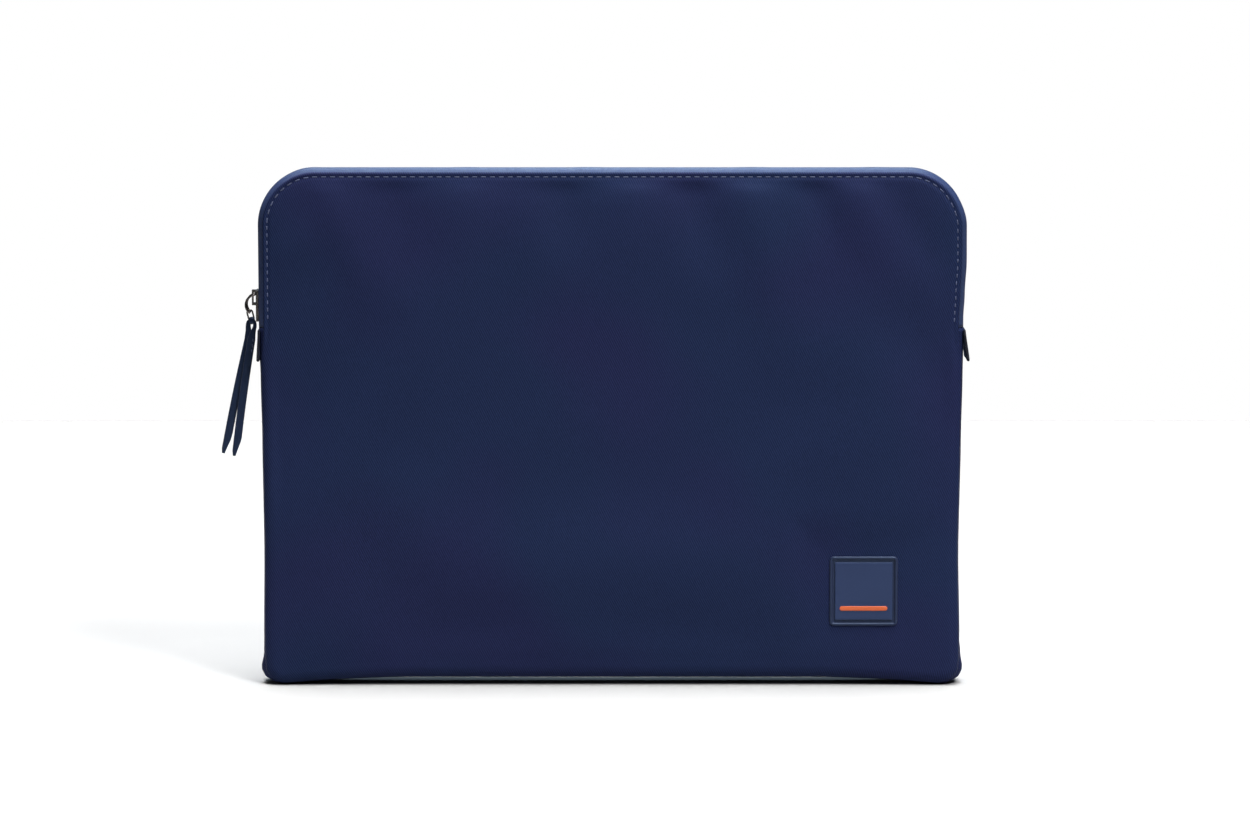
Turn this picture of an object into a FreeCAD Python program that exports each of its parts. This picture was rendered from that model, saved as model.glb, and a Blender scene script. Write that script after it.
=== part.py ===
import FreeCAD, Part
import math
import os

import Sketcher

# A zipped laptop sleeve that stands on its bottom edge. Millimetres and degrees.
# +X is to the right, +Y to the back, +Z up. The origin is on the floor, under the middle of the sleeve.

DRIVING_SIZES = {
    # the closed sleeve
    "sleeve_width": 339.0,
    "sleeve_height": 250.0,
    "sleeve_depth": 24.0,
    "top_corner": 27.0,
    "bottom_corner": 7.0,
    # the layers of its walls, from outside to inside
    "cloth": 0.8,
    "foam": 2.5,
    "lining": 0.5,
    "padding_inset": 2.4,
    "gusset_inset": 1.0,
    # where the zip ends, where the front panel folds, and the cut that lets it fold
    "zip_end_height": 174.0,
    "fold_height": 193.4,
    "cut": 0.4,
    # the zip: two tapes with a coil row each, and a gap between them for the slider's web
    "tape": 0.6,
    "tape_gap": 1.2,
    "coil_width": 2.4,
    "coil_depth": 1.6,
    "stop_height": 2.0,
    # the slider, on the zip's straight left leg
    "slider_low": 176.4,
    "slider_length": 15.0,
    "slider_width": 9.0,
    "slider_plate": 1.2,
    "slider_gap": 0.2,
    "web": 0.8,
    "web_length": 4.0,
    "bridge_length": 7.4,
    "bridge_width": 3.0,
    "bridge_bar": 0.7,
    "bridge_end": 1.2,
    "slot_depth": 1.4,
    # the bent-wire loop that hangs in the slider's bridge
    "loop_bend": 5.0,
    "loop_wire": 1.1,
    "loop_width": 6.4,
    "loop_start": 99.0,
    "loop_end": 227.0,
    "loop_drop": 1.0,
    # the link between loop and pull
    "link_bend": 1.3,
    "link_wire": 0.8,
    "link_straight": 2.6,
    "link_lean": 14.0,
    # the folded leather pull
    "pull_eye": 1.6,
    "pull_hole": 0.85,
    "pull_neck": 1.2,
    "tail_width": 3.1,
    "tail_thickness": 1.5,
    "tail_gap": 0.4,
    "tail_start": 1.3,
    "tail_length": 65.7,
    "tip_length": 9.0,
    "tip_width": 1.5,
    "front_tail_lean": 7.7,
    "back_tail_lean": 12.6,
    # the folded tabs at the zip's two ends
    "tab_length": 15.0,
    "tab_width": 18.0,
    "tab_thickness": 1.6,
    "tab_clearance": 0.3,
    "tab_top": 172.5,
    "left_tab_lean": 0.5,
    "right_tab_lean": 6.0,
    # the badge on the front panel
    "badge_width": 33.0,
    "badge_height": 34.0,
    "badge_centre_x": 121.5,
    "badge_centre_z": 46.5,
    "badge_corner": 2.2,
    "badge_rim": 1.5,
    "badge_thickness": 1.0,
    "badge_floor": 0.4,
    "plaque_width": 28.4,
    "plaque_height": 28.8,
    "plaque_thickness": 0.5,
    "bar_width": 23.0,
    "bar_height": 2.2,
    "bar_thickness": 0.3,
    "bar_rise": 6.0,
    # thread
    "stitch_pitch": 4.2,
    "stitch_length": 2.7,
    "stitch_width": 0.5,
    "stitch_thickness": 0.25,
    "stitch_inset": 4.0,
    "stitch_lift": 0.02,
}

PARTS_FOLDER = "parts"
VERTICAL_AXIS = FreeCAD.Vector(0, 0, 1)
DEPTH_AXIS = FreeCAD.Vector(0, 1, 0)
WIDTH_AXIS = FreeCAD.Vector(1, 0, 0)

doc = FreeCAD.newDocument("LaptopSleeve")
sheet = doc.addObject("Spreadsheet::Sheet", "Sizes")
for row, (alias, number) in enumerate(DRIVING_SIZES.items(), start=1):
    sheet.set(f"A{row}", alias)
    sheet.set(f"B{row}", str(number))
    sheet.setAlias(f"B{row}", alias)
doc.recompute()


class Size:
    """A size worked out from the sheet: the formula that binds it, and its value for the first draft."""

    def __init__(self, formula, value):
        self.formula = formula
        self.value = value

    def __add__(self, other):
        other = as_size(other)
        return Size(f"({self.formula} + {other.formula})", self.value + other.value)

    def __sub__(self, other):
        other = as_size(other)
        return Size(f"({self.formula} - {other.formula})", self.value - other.value)

    def __mul__(self, factor):
        return Size(f"({self.formula} * {factor})", self.value * factor)

    def __truediv__(self, factor):
        return Size(f"({self.formula} / {factor})", self.value / factor)

    def __neg__(self):
        return self * -1


def as_size(number):
    """A Size, from one or from a plain number."""
    return number if isinstance(number, Size) else Size(str(float(number)), float(number))


def cell(alias):
    """The sheet's cell with this alias."""
    return Size(f"Sizes.{alias}", float(sheet.get(alias)))


def bind(feature, **sizes):
    """Binds properties of a feature to sizes, by name; a double underscore stands for a dot."""
    for name, size in sizes.items():
        feature.setExpression(name.replace("__", "."), as_size(size).formula)
    return feature


# Sizes that several pieces share
half_width = cell("sleeve_width") / 2
height = cell("sleeve_height")
half_depth = cell("sleeve_depth") / 2
panel_back = half_depth - cell("cloth")
foam_back = panel_back - cell("foam")
bay_half = foam_back - cell("lining")
half_gap = cell("tape_gap") / 2
half_cut = cell("cut") / 2
above_fold = cell("fold_height") + half_cut
below_fold = cell("fold_height") - half_cut
zip_low = cell("zip_end_height") + half_cut
gusset_high = cell("zip_end_height") - half_cut
coil_edge = half_gap + cell("coil_width")

nodes = []


def keep(feature, name):
    """Names a finished sub-part after its node and puts it on the list to be written."""
    feature.Label = name
    nodes.append(feature)
    return feature


# ---------------------------------------------------------------- sketched pieces


def origin_plane(body, role):
    """One of a body's own origin planes."""
    return [plane for plane in body.Origin.OriginFeatures if plane.Role == role][0]


def outline_sketch(body, name, corners):
    """A closed outline of upright and level lines in the body's XZ plane, bound to the sheet.

    Each corner is (x, z, radius), and a radius of None leaves the corner sharp.
    The first line runs from the first corner to the second, and the lines go round clockwise or
    anticlockwise, level and upright by turns."""
    sketch = body.newObject("Sketcher::SketchObject", name)
    sketch.AttachmentSupport = [(origin_plane(body, "XZ_Plane"), "")]
    sketch.MapMode = "FlatFace"
    count = len(corners)
    points = [FreeCAD.Vector(x.value, z.value, 0) for x, z, _ in corners]
    radii = [0.0 if radius is None else radius.value for _, _, radius in corners]
    steps = [(points[(i + 1) % count] - points[i]).normalize() for i in range(count)]
    lines = []
    for i in range(count):
        start = points[i] + steps[i] * radii[i]
        end = points[(i + 1) % count] - steps[i] * radii[(i + 1) % count]
        lines.append(sketch.addGeometry(Part.LineSegment(start, end)))
    for i in range(count):
        level = abs(steps[i].y) < 0.5
        x, z, _ = corners[i]
        if level:
            sketch.addConstraint(Sketcher.Constraint("Horizontal", lines[i]))
            place = sketch.addConstraint(Sketcher.Constraint("DistanceY", -1, 1, lines[i], 1, z.value))
        else:
            sketch.addConstraint(Sketcher.Constraint("Vertical", lines[i]))
            place = sketch.addConstraint(Sketcher.Constraint("DistanceX", -1, 1, lines[i], 1, x.value))
        sketch.setExpression(f"Constraints[{place}]", (z if level else x).formula)
    for i in range(count):
        before = lines[i - 1]
        after = lines[i]
        if not radii[i]:
            sketch.addConstraint(Sketcher.Constraint("Coincident", before, 2, after, 1))
            continue
        centre = points[i] - steps[i - 1] * radii[i] + steps[i] * radii[i]
        leaves = points[i] - steps[i - 1] * radii[i] - centre
        arrives = points[i] + steps[i] * radii[i] - centre
        turns_left = steps[i - 1].cross(steps[i]).z > 0
        first, last = (leaves, arrives) if turns_left else (arrives, leaves)
        start_angle = math.atan2(first.y, first.x)
        end_angle = math.atan2(last.y, last.x)
        if end_angle < start_angle:
            end_angle += 2 * math.pi
        circle = Part.Circle(centre, VERTICAL_AXIS, radii[i])
        arc = sketch.addGeometry(Part.ArcOfCircle(circle, start_angle, end_angle))
        near, far = (1, 2) if turns_left else (2, 1)
        sketch.addConstraint(Sketcher.Constraint("Tangent", before, 2, arc, near))
        sketch.addConstraint(Sketcher.Constraint("Tangent", arc, far, after, 1))
        round_size = sketch.addConstraint(Sketcher.Constraint("Radius", arc, radii[i]))
        sketch.setExpression(f"Constraints[{round_size}]", corners[i][2].formula)
    return sketch


def pad_outline(body, name, corners, y_low, y_high):
    """Pads an outline from y_low to y_high. The XZ plane's normal points to -Y."""
    sketch = outline_sketch(body, name + "_outline", corners)
    bind(sketch, AttachmentOffset__Base__z=-y_high)
    pad = body.newObject("PartDesign::Pad", name + "_pad")
    pad.Profile = sketch
    bind(pad, Length=y_high - y_low)
    return pad


def slab(name, corners, y_low, y_high):
    """A sub-part that is one outline with a constant thickness."""
    body = doc.addObject("PartDesign::Body", name + "_body")
    pad_outline(body, name, corners, y_low, y_high)
    return keep(body, name)


def plate_corners(x_half, z_low, z_high, low_radius=None, high_radius=None, centre=0.0):
    """The corners of an upright plate, symmetric about its centre, rounded below, above or both."""
    centre = as_size(centre)
    left = centre - x_half
    right = centre + x_half
    return [
        (left, z_low, low_radius),
        (right, z_low, low_radius),
        (right, z_high, high_radius),
        (left, z_high, high_radius),
    ]


def band_corners(x_half, ends, crown, radius, thickness, inward):
    """The corners of a strip that goes up one side, across and down the other.

    crown is the level of the stretch across and ends that of both cut ends.
    inward is -1 for a strip over the top, whose inside is below its crown, and 1 for one below."""
    inner_half = x_half - thickness
    inner_crown = crown + thickness * inward
    inner_radius = radius - thickness
    return [
        (-inner_half, ends, None),
        (-x_half, ends, None),
        (-x_half, crown, radius),
        (x_half, crown, radius),
        (x_half, ends, None),
        (inner_half, ends, None),
        (inner_half, inner_crown, inner_radius),
        (-inner_half, inner_crown, inner_radius),
    ]


def make_shell():
    """The cloth, foam and lining of the back, of the front below and above its fold, and the gusset."""
    inset = cell("padding_inset")
    top = cell("top_corner")
    low = cell("bottom_corner")
    bottom = as_size(0.0)
    pad_half = half_width - inset
    pad_top = top - inset
    pad_low = low - inset
    pad_high = height - inset

    slab("back_panel", plate_corners(half_width, bottom, height, low, top), panel_back, half_depth)
    slab("back_foam", plate_corners(pad_half, inset, pad_high, pad_low, pad_top), foam_back, panel_back)
    slab("back_lining", plate_corners(pad_half, inset, pad_high, pad_low, pad_top), bay_half, foam_back)

    slab("front_panel_lower", plate_corners(half_width, bottom, below_fold, low), -half_depth, -panel_back)
    slab("front_foam_lower", plate_corners(pad_half, inset, below_fold, pad_low), -panel_back, -foam_back)
    slab("front_lining_lower", plate_corners(pad_half, inset, below_fold, pad_low), -foam_back, -bay_half)

    upper = plate_corners(half_width, above_fold, height, None, top)
    padding = plate_corners(pad_half, above_fold, pad_high, None, pad_top)
    slab("front_panel_upper", upper, -half_depth, -panel_back)
    slab("front_foam_upper", padding, -panel_back, -foam_back)
    slab("front_lining_upper", padding, -foam_back, -bay_half)

    gusset_half = half_width - cell("gusset_inset")
    gusset_corner = low - cell("gusset_inset")
    gusset = band_corners(gusset_half, gusset_high, bottom, gusset_corner, cell("cloth"), 1)
    slab("side_gusset", gusset, -panel_back, panel_back)
    lining = band_corners(
        gusset_half - cell("cloth"),
        gusset_high,
        bottom + cell("cloth"),
        gusset_corner - cell("cloth"),
        cell("lining"),
        1,
    )
    slab("gusset_lining", lining, -bay_half, bay_half)


def box(name, x_low, y_low, z_low, x_size, y_size, z_size):
    """A block, bound to the sheet in place and size."""
    block = doc.addObject("Part::Box", name)
    bind(block, Length=x_size, Width=y_size, Height=z_size)
    return bind(block, Placement__Base__x=x_low, Placement__Base__y=y_low, Placement__Base__z=z_low)


def group(name, members):
    """Separate solids in one node."""
    compound = doc.addObject("Part::Compound", name + "_group")
    compound.Links = members
    return keep(compound, name)


def leg_pair(name, depth_from_edge, thickness, y_low, y_high):
    """The two short straight ends of a zip strip, below the fold: one on each leg."""
    length = below_fold - zip_low
    left_x = -half_width + depth_from_edge
    right_x = half_width - depth_from_edge - thickness
    sides = [("left", left_x), ("right", right_x)]
    ends = [box(f"{name}_{side}", x, y_low, zip_low, thickness, y_high - y_low, length) for side, x in sides]
    return group(name, ends)


def make_zip():
    """Two tapes with a coil row inside each, which run up the left side, over the top and down the right."""
    tape = cell("tape")
    coil = cell("coil_depth")
    top = cell("top_corner")
    back_tape = band_corners(half_width, zip_low, height, top, tape, -1)
    back_coil = band_corners(half_width - tape, zip_low, height - tape, top - tape, coil, -1)
    front_tape = band_corners(half_width, above_fold, height, top, tape, -1)
    front_coil = band_corners(half_width - tape, above_fold, height - tape, top - tape, coil, -1)
    slab("zip_tape_back", back_tape, half_gap, panel_back)
    slab("zip_coil_back", back_coil, half_gap, coil_edge)
    slab("zip_tape_front", front_tape, -panel_back, -half_gap)
    slab("zip_coil_front", front_coil, -coil_edge, -half_gap)
    leg_pair("zip_tape_front_ends", as_size(0.0), tape, -panel_back, -half_gap)
    leg_pair("zip_coil_front_ends", tape, coil, -coil_edge, -half_gap)
    # each end stop is a small block inside the tapes, under the coil's last turn
    stop_high = gusset_high - half_cut
    stop_low = stop_high - cell("stop_height")
    stop_inset = cell("gusset_inset") + cell("cloth") + cell("lining") + cell("cut")
    for side, x in [("left", -half_width + stop_inset), ("right", half_width - stop_inset - coil)]:
        stop = box(f"{side}_stop_block", x, -coil_edge, stop_low, coil, coil_edge * 2, cell("stop_height"))
        keep(stop, f"{side}_zip_stop")


# ---------------------------------------------------------------- slider, loop, link and pull


def cylinder(name, radius, length, start, turn_axis, turn):
    """A round bar from start, turned from upright by an angle about an axis."""
    bar = doc.addObject("Part::Cylinder", name)
    bar.Placement = FreeCAD.Placement(FreeCAD.Vector(), FreeCAD.Rotation(turn_axis, turn))
    bind(bar, Radius=radius, Height=length)
    x, y, z = start
    return bind(bar, Placement__Base__x=x, Placement__Base__y=y, Placement__Base__z=z)


def level_bar(name, radius, x, z, half_length):
    """A round bar along Y, centred on y = 0."""
    return cylinder(name, radius, half_length * 2, (x, half_length, z), WIDTH_AXIS, 90)


def fuse(name, members):
    """Members joined into one solid."""
    joined = doc.addObject("Part::MultiFuse", name + "_fuse")
    joined.Shapes = members
    joined.Refine = True
    return joined


tape_face = -half_width
plate_inner = tape_face - cell("slider_gap")
plate_outer = plate_inner - cell("slider_plate")
slider_high = cell("slider_low") + cell("slider_length")
slot_centre_x = plate_outer - cell("slot_depth") / 2
bridge_outer = plate_outer - cell("slot_depth") - cell("bridge_bar")


def make_slider():
    """An outer and an inner plate, joined by a web between the tapes, and a bridge on the outside."""
    half = cell("slider_width") / 2
    low = cell("slider_low")
    length = cell("slider_length")
    web_half = cell("web") / 2
    inner_plate_x = tape_face + cell("tape") + cell("coil_depth") + cell("slider_gap")
    outer = box("slider_outer", plate_outer, -half, low, cell("slider_plate"), half * 2, length)
    inner = box("slider_inner", inner_plate_x, -half, low, cell("slider_plate"), half * 2, length)
    web_span = inner_plate_x - plate_inner
    web = box("slider_web", plate_inner, -web_half, low, web_span, web_half * 2, cell("web_length"))
    keep(fuse("slider_body", [outer, web, inner]), "slider_body")

    bridge_half = cell("bridge_width") / 2
    bridge_low = slider_high - cell("bridge_length")
    reach = plate_outer - bridge_outer
    end = cell("bridge_end")
    bar_size = (cell("bridge_bar"), bridge_half * 2, cell("bridge_length"))
    bar = box("bridge_bar_block", bridge_outer, -bridge_half, bridge_low, *bar_size)
    foot = box("bridge_foot", bridge_outer, -bridge_half, bridge_low, reach, bridge_half * 2, end)
    head = box("bridge_head", bridge_outer, -bridge_half, slider_high - end, reach, bridge_half * 2, end)
    keep(fuse("slider_bridge", [bar, foot, head]), "slider_bridge")


def on_loop(angle_alias):
    """The place on the loop's bend, as sizes, at an angle kept in the sheet."""
    bend = cell("loop_bend")
    angle = cell(angle_alias)
    radians = math.radians(angle.value)
    across = Size(f"({bend.formula} * cos({angle.formula} * 1 deg))", bend.value * math.cos(radians))
    up = Size(f"({bend.formula} * sin({angle.formula} * 1 deg))", bend.value * math.sin(radians))
    return across, up


# The loop's upper bar lies in the bridge's slot, just under its head
start_across, start_up = on_loop("loop_start")
end_across, end_up = on_loop("loop_end")
pivot_x = slot_centre_x
pivot_z = slider_high - cell("bridge_end") - cell("loop_drop")
bend_x = pivot_x - start_across
bend_z = pivot_z - start_up
lower_bar_x = bend_x + end_across
lower_bar_z = bend_z + end_up


def make_loop():
    """Two bowed legs, one each side of the bridge, with a level bar at each end."""
    wire = cell("loop_wire") / 2
    half = cell("loop_width") / 2
    sweep = cell("loop_end") - cell("loop_start")
    members = []
    for side, y in [("front", -half), ("rear", half)]:
        leg = doc.addObject("Part::Torus", f"loop_leg_{side}")
        upright = FreeCAD.Rotation(WIDTH_AXIS, 90)
        to_start = FreeCAD.Rotation(VERTICAL_AXIS, cell("loop_start").value)
        leg.Placement = FreeCAD.Placement(FreeCAD.Vector(), upright.multiply(to_start))
        bind(leg, Radius1=cell("loop_bend"), Radius2=wire, Angle3=sweep)
        bind(leg, Placement__Base__x=bend_x, Placement__Base__y=y, Placement__Base__z=bend_z)
        members.append(leg)
        for end, x, z in [("upper", pivot_x, pivot_z), ("lower", lower_bar_x, lower_bar_z)]:
            knuckle = doc.addObject("Part::Sphere", f"loop_knuckle_{side}_{end}")
            bind(knuckle, Radius=wire)
            bind(knuckle, Placement__Base__x=x, Placement__Base__y=y, Placement__Base__z=z)
            members.append(knuckle)
    members.append(level_bar("loop_upper_bar", wire, pivot_x, pivot_z, half))
    members.append(level_bar("loop_lower_bar", wire, lower_bar_x, lower_bar_z, half))
    keep(fuse("pull_loop", members), "pull_loop")


link_lean = cell("link_lean")
link_slack = (cell("loop_wire") + cell("link_wire")) / 2 + 0.1


def turned(start_x, start_z, right, down):
    """The place that is some way right and down from a start, in a frame that leans with the link."""
    radians = math.radians(link_lean.value)
    sine = f"sin({link_lean.formula} * 1 deg)"
    cosine = f"cos({link_lean.formula} * 1 deg)"
    x = Size(
        f"({start_x.formula} + {right.formula} * {cosine} + {down.formula} * {sine})",
        start_x.value + right.value * math.cos(radians) + down.value * math.sin(radians),
    )
    z = Size(
        f"({start_z.formula} + {right.formula} * {sine} - {down.formula} * {cosine})",
        start_z.value + right.value * math.sin(radians) - down.value * math.cos(radians),
    )
    return x, z


def along_link(distance):
    """The place at a distance down the link's long axis from the loop's lower bar."""
    return turned(lower_bar_x, lower_bar_z, as_size(0.0), distance)


def make_link():
    """A long ring of round wire that hangs on the loop's lower bar, leaning towards the sleeve."""
    bend = cell("link_bend")
    wire = cell("link_wire") / 2
    top = bend - link_slack
    members = []
    lean = FreeCAD.Rotation(DEPTH_AXIS, -link_lean.value)
    for half, distance, turn in [("upper", top, 0), ("lower", top + cell("link_straight"), 180)]:
        x, z = along_link(distance)
        arc = doc.addObject("Part::Torus", f"link_{half}_bend")
        spin = FreeCAD.Rotation(VERTICAL_AXIS, turn)
        upright = FreeCAD.Rotation(WIDTH_AXIS, 90)
        arc.Placement = FreeCAD.Placement(FreeCAD.Vector(), lean.multiply(upright).multiply(spin))
        arc.Angle3 = 180
        bind(arc, Radius1=bend, Radius2=wire)
        bind(arc, Placement__Base__x=x, Placement__Base__z=z)
        members.append(arc)
    low_end = top + cell("link_straight")
    for side, offset in [("left", -bend), ("right", bend)]:
        x, z = turned(lower_bar_x, lower_bar_z, offset, low_end)
        length = cell("link_straight")
        members.append(cylinder(f"link_{side}_bar", wire, length, (x, 0.0, z), DEPTH_AXIS, -link_lean.value))
    keep(fuse("link_ring", members), "link_ring")


eye_x, eye_z = along_link(cell("link_bend") - link_slack + cell("link_straight") + cell("link_bend"))


def across_link(offset):
    """The place at an offset to the right of the pull's eye, square to the link's long axis."""
    return turned(eye_x, eye_z, offset, as_size(0.0))


def polygon_body(name, corners, y_low, y_high):
    """A body that is one straight-sided outline, drawn round the body's own origin and padded along Y."""
    body = doc.addObject("PartDesign::Body", name)
    sketch = body.newObject("Sketcher::SketchObject", name + "_outline")
    sketch.AttachmentSupport = [(origin_plane(body, "XZ_Plane"), "")]
    sketch.MapMode = "FlatFace"
    bind(sketch, AttachmentOffset__Base__z=-y_high)
    points = [FreeCAD.Vector(x.value, z.value, 0) for x, z in corners]
    count = len(points)
    lines = [sketch.addGeometry(Part.LineSegment(points[i], points[(i + 1) % count])) for i in range(count)]
    for i in range(count):
        sketch.addConstraint(Sketcher.Constraint("Coincident", lines[i - 1], 2, lines[i], 1))
        for kind, size in [("DistanceX", corners[i][0]), ("DistanceY", corners[i][1])]:
            place = sketch.addConstraint(Sketcher.Constraint(kind, -1, 1, lines[i], 1, size.value))
            sketch.setExpression(f"Constraints[{place}]", size.formula)
    pad = body.newObject("PartDesign::Pad", name + "_pad")
    pad.Profile = sketch
    bind(pad, Length=y_high - y_low)
    return body


def make_pull():
    """A leather strip folded through the link, with two tails that hang down and lean outward.

    The tip of each tail is cut slanting, on the side towards the sleeve."""
    neck = cell("pull_neck")
    turn = 90 - link_lean.value
    outside_x, outside_z = across_link(neck / -2)
    inside_x, inside_z = across_link(-neck)
    outside = (outside_x, 0.0, outside_z)
    inside = (inside_x, 0.0, inside_z)
    eye = doc.addObject("Part::Cut", "pull_eye_ring")
    eye.Base = cylinder("pull_eye_outside", cell("pull_eye"), neck, outside, DEPTH_AXIS, turn)
    eye.Tool = cylinder("pull_eye_inside", cell("pull_hole"), neck * 2, inside, DEPTH_AXIS, turn)
    half = cell("tail_width") / 2
    length = cell("tail_length")
    corners = [
        (-half, as_size(0.0)),
        (half, as_size(0.0)),
        (half, cell("tip_length") - length),
        (cell("tip_width") - half, -length),
        (-half, -length),
    ]
    near = cell("tail_gap") / 2
    far = near + cell("tail_thickness")
    members = [eye]
    for name, y_low, y_high in [("front_tail", -far, -near), ("back_tail", near, far)]:
        tail = polygon_body(name, corners, y_low, y_high)
        tail.Placement = FreeCAD.Placement(FreeCAD.Vector(), FreeCAD.Rotation(DEPTH_AXIS, 1))
        bind(tail, Placement__Rotation__Angle=cell(name + "_lean"))
        bind(tail, Placement__Base__x=eye_x, Placement__Base__z=eye_z - cell("tail_start"))
        members.append(tail)
    keep(fuse("pull_strap", members), "pull_strap")

    # three stitches through both tails, on the front tail's face
    width = cell("stitch_width")
    thickness = cell("stitch_thickness")
    stitches = []
    for i in range(3):
        drop = cell("stitch_pitch") / 2 * i + cell("stitch_length")
        stitch = doc.addObject("Part::Box", f"pull_stitch_{i}")
        bind(stitch, Length=width, Width=thickness, Height=width * 2)
        bind(stitch, Placement__Base__x=eye_x, Placement__Base__z=eye_z - cell("tail_start") - drop)
        bind(stitch, Placement__Base__y=-far - thickness - cell("stitch_lift"))
        stitches.append(stitch)
    group("pull_stitches", stitches)


# ---------------------------------------------------------------- end tabs and badge


def make_tab(side, outward, lean):
    """A folded tape tab that hangs at a zip end, just outside the gusset, with its fold at the bottom.

    outward is -1 on the left and 1 on the right, and lean is the angle its free end stands out by."""
    thickness = cell("tab_thickness")
    half = cell("tab_width") / 2
    drop = cell("tab_length") - thickness / 2
    left_edge = as_size(0.0) if outward > 0 else -thickness
    plies = box(f"{side}_tab_plies", left_edge, -half, -drop, thickness, half * 2, drop)
    fold = level_bar(f"{side}_tab_fold", thickness / 2, thickness / 2 * outward, -drop, half)
    tab = fuse(f"{side}_end_tab", [plies, fold])
    hinge = FreeCAD.Vector(0, -outward, 0)
    tab.Placement = FreeCAD.Placement(FreeCAD.Vector(), FreeCAD.Rotation(hinge, 1))
    bind(tab, Placement__Rotation__Angle=lean)
    hang_x = (half_width - cell("gusset_inset") + cell("tab_clearance")) * outward
    bind(tab, Placement__Base__x=hang_x, Placement__Base__z=cell("tab_top"))
    keep(tab, f"{side}_end_tab")


def make_badge():
    """A square rubber badge: a shallow tray with a raised rim, a plaque in it and a plain bar on that."""
    front = -half_depth
    middle_x = cell("badge_centre_x")
    middle_z = cell("badge_centre_z")
    corner = cell("badge_corner")
    rim = cell("badge_rim")
    half_w = cell("badge_width") / 2
    half_h = cell("badge_height") / 2
    low = middle_z - half_h
    high = middle_z + half_h
    body = doc.addObject("PartDesign::Body", "badge_frame_body")
    face = front - cell("badge_thickness")
    outline = plate_corners(half_w, low, high, corner, corner, middle_x)
    pad = pad_outline(body, "badge_frame", outline, face, front)
    doc.recompute()
    solid_volume = pad.Shape.Volume
    recess = plate_corners(half_w - rim, low + rim, high - rim, corner / 2, corner / 2, middle_x)
    sketch = outline_sketch(body, "badge_recess_outline", recess)
    bind(sketch, AttachmentOffset__Base__z=-face)
    pocket = body.newObject("PartDesign::Pocket", "badge_recess")
    pocket.Profile = sketch
    bind(pocket, Length=cell("badge_thickness") - cell("badge_floor"))
    doc.recompute()
    if pocket.Shape.Volume > solid_volume * 0.95:
        raise RuntimeError("the badge's recess cuts nothing")
    keep(body, "badge_frame")

    plaque_back = front - cell("badge_floor")
    plaque_face = plaque_back - cell("plaque_thickness")
    plaque_half = cell("plaque_width") / 2
    plaque_low = middle_z - cell("plaque_height") / 2
    plaque_high = middle_z + cell("plaque_height") / 2
    edge = corner / 4
    plaque = plate_corners(plaque_half, plaque_low, plaque_high, edge, edge, middle_x)
    slab("badge_plaque", plaque, plaque_face, plaque_back)
    bar_low = plaque_low + cell("bar_rise") - cell("bar_height") / 2
    bar_high = bar_low + cell("bar_height")
    bar = plate_corners(cell("bar_width") / 2, bar_low, bar_high, edge, edge, middle_x)
    slab("badge_bar", bar, plaque_face - cell("bar_thickness"), plaque_face)


# ---------------------------------------------------------------- topstitching


def row_place(distance, half, low, crown, radius):
    """The place (x, z) and heading, in radians, at a distance along a line of stitches.

    The line runs up the left side from low, round the corner, across at crown, and down the right."""
    leg = crown - radius - low
    bend = radius * math.pi / 2
    across = 2 * (half - radius)
    centre_x = half - radius
    centre_z = crown - radius
    if distance < leg:
        return -half, low + distance, math.pi / 2
    distance -= leg
    if distance < bend:
        angle = math.pi - distance / radius
        x = -centre_x + radius * math.cos(angle)
        return x, centre_z + radius * math.sin(angle), angle - math.pi / 2
    distance -= bend
    if distance < across:
        return -centre_x + distance, crown, 0.0
    distance -= across
    if distance < bend:
        angle = math.pi / 2 - distance / radius
        x = centre_x + radius * math.cos(angle)
        return x, centre_z + radius * math.sin(angle), angle - math.pi / 2
    return half, centre_z - (distance - bend), -math.pi / 2


def stitch_row(name, y_low, z_from, z_to):
    """A node of short separate stitches along the zip's edge, of those between two heights."""
    inset = cell("stitch_inset").value
    half = half_width.value - inset
    crown = height.value - inset
    radius = cell("top_corner").value - inset
    low = cell("zip_end_height").value + inset
    total = 2 * (crown - radius - low) + math.pi * radius + 2 * (half - radius)
    pitch = cell("stitch_pitch").value
    length = cell("stitch_length").value
    width = cell("stitch_width").value
    thickness = cell("stitch_thickness").value
    count = int(total // pitch)
    first = (total - (count - 1) * pitch) / 2
    solids = []
    for i in range(count):
        x, z, heading = row_place(first + i * pitch, half, low, crown, radius)
        reach = abs(math.sin(heading)) * length / 2 + width / 2
        if z - reach < z_from or z + reach > z_to:
            continue
        stitch = Part.makeBox(length, thickness, width, FreeCAD.Vector(-length / 2, 0, -width / 2))
        turn = FreeCAD.Rotation(DEPTH_AXIS, -math.degrees(heading))
        stitch.Placement = FreeCAD.Placement(FreeCAD.Vector(x, y_low.value, z), turn)
        solids.append(stitch)
    row = doc.addObject("Part::Feature", name + "_stitches")
    row.Shape = Part.makeCompound(solids)
    keep(row, name)


def make_topstitching():
    """Stitches round the front panel, above and below its fold, and round the back panel."""
    lift = cell("stitch_lift")
    front = -half_depth - lift - cell("stitch_thickness")
    stitch_row("topstitch_front_lower", front, 0.0, below_fold.value)
    stitch_row("topstitch_front_upper", front, above_fold.value, height.value)
    stitch_row("topstitch_back", half_depth + lift, 0.0, height.value)


# ---------------------------------------------------------------- the whole sleeve


def check(document):
    """Stops if any object of the document failed, or a sub-part has no valid closed shape."""
    for obj in document.Objects:
        if "Invalid" in obj.State or "Error" in obj.State:
            raise RuntimeError(f"{obj.Label} failed: {obj.State}")
    for node in nodes:
        shape = node.Shape
        if shape.isNull() or not shape.isValid() or not shape.Solids:
            raise RuntimeError(f"{node.Label} has no valid solid")


make_shell()
make_zip()
make_slider()
make_loop()
make_link()
make_pull()
make_tab("left", -1, cell("left_tab_lean"))
make_tab("right", 1, cell("right_tab_lean"))
make_badge()
make_topstitching()

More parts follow.
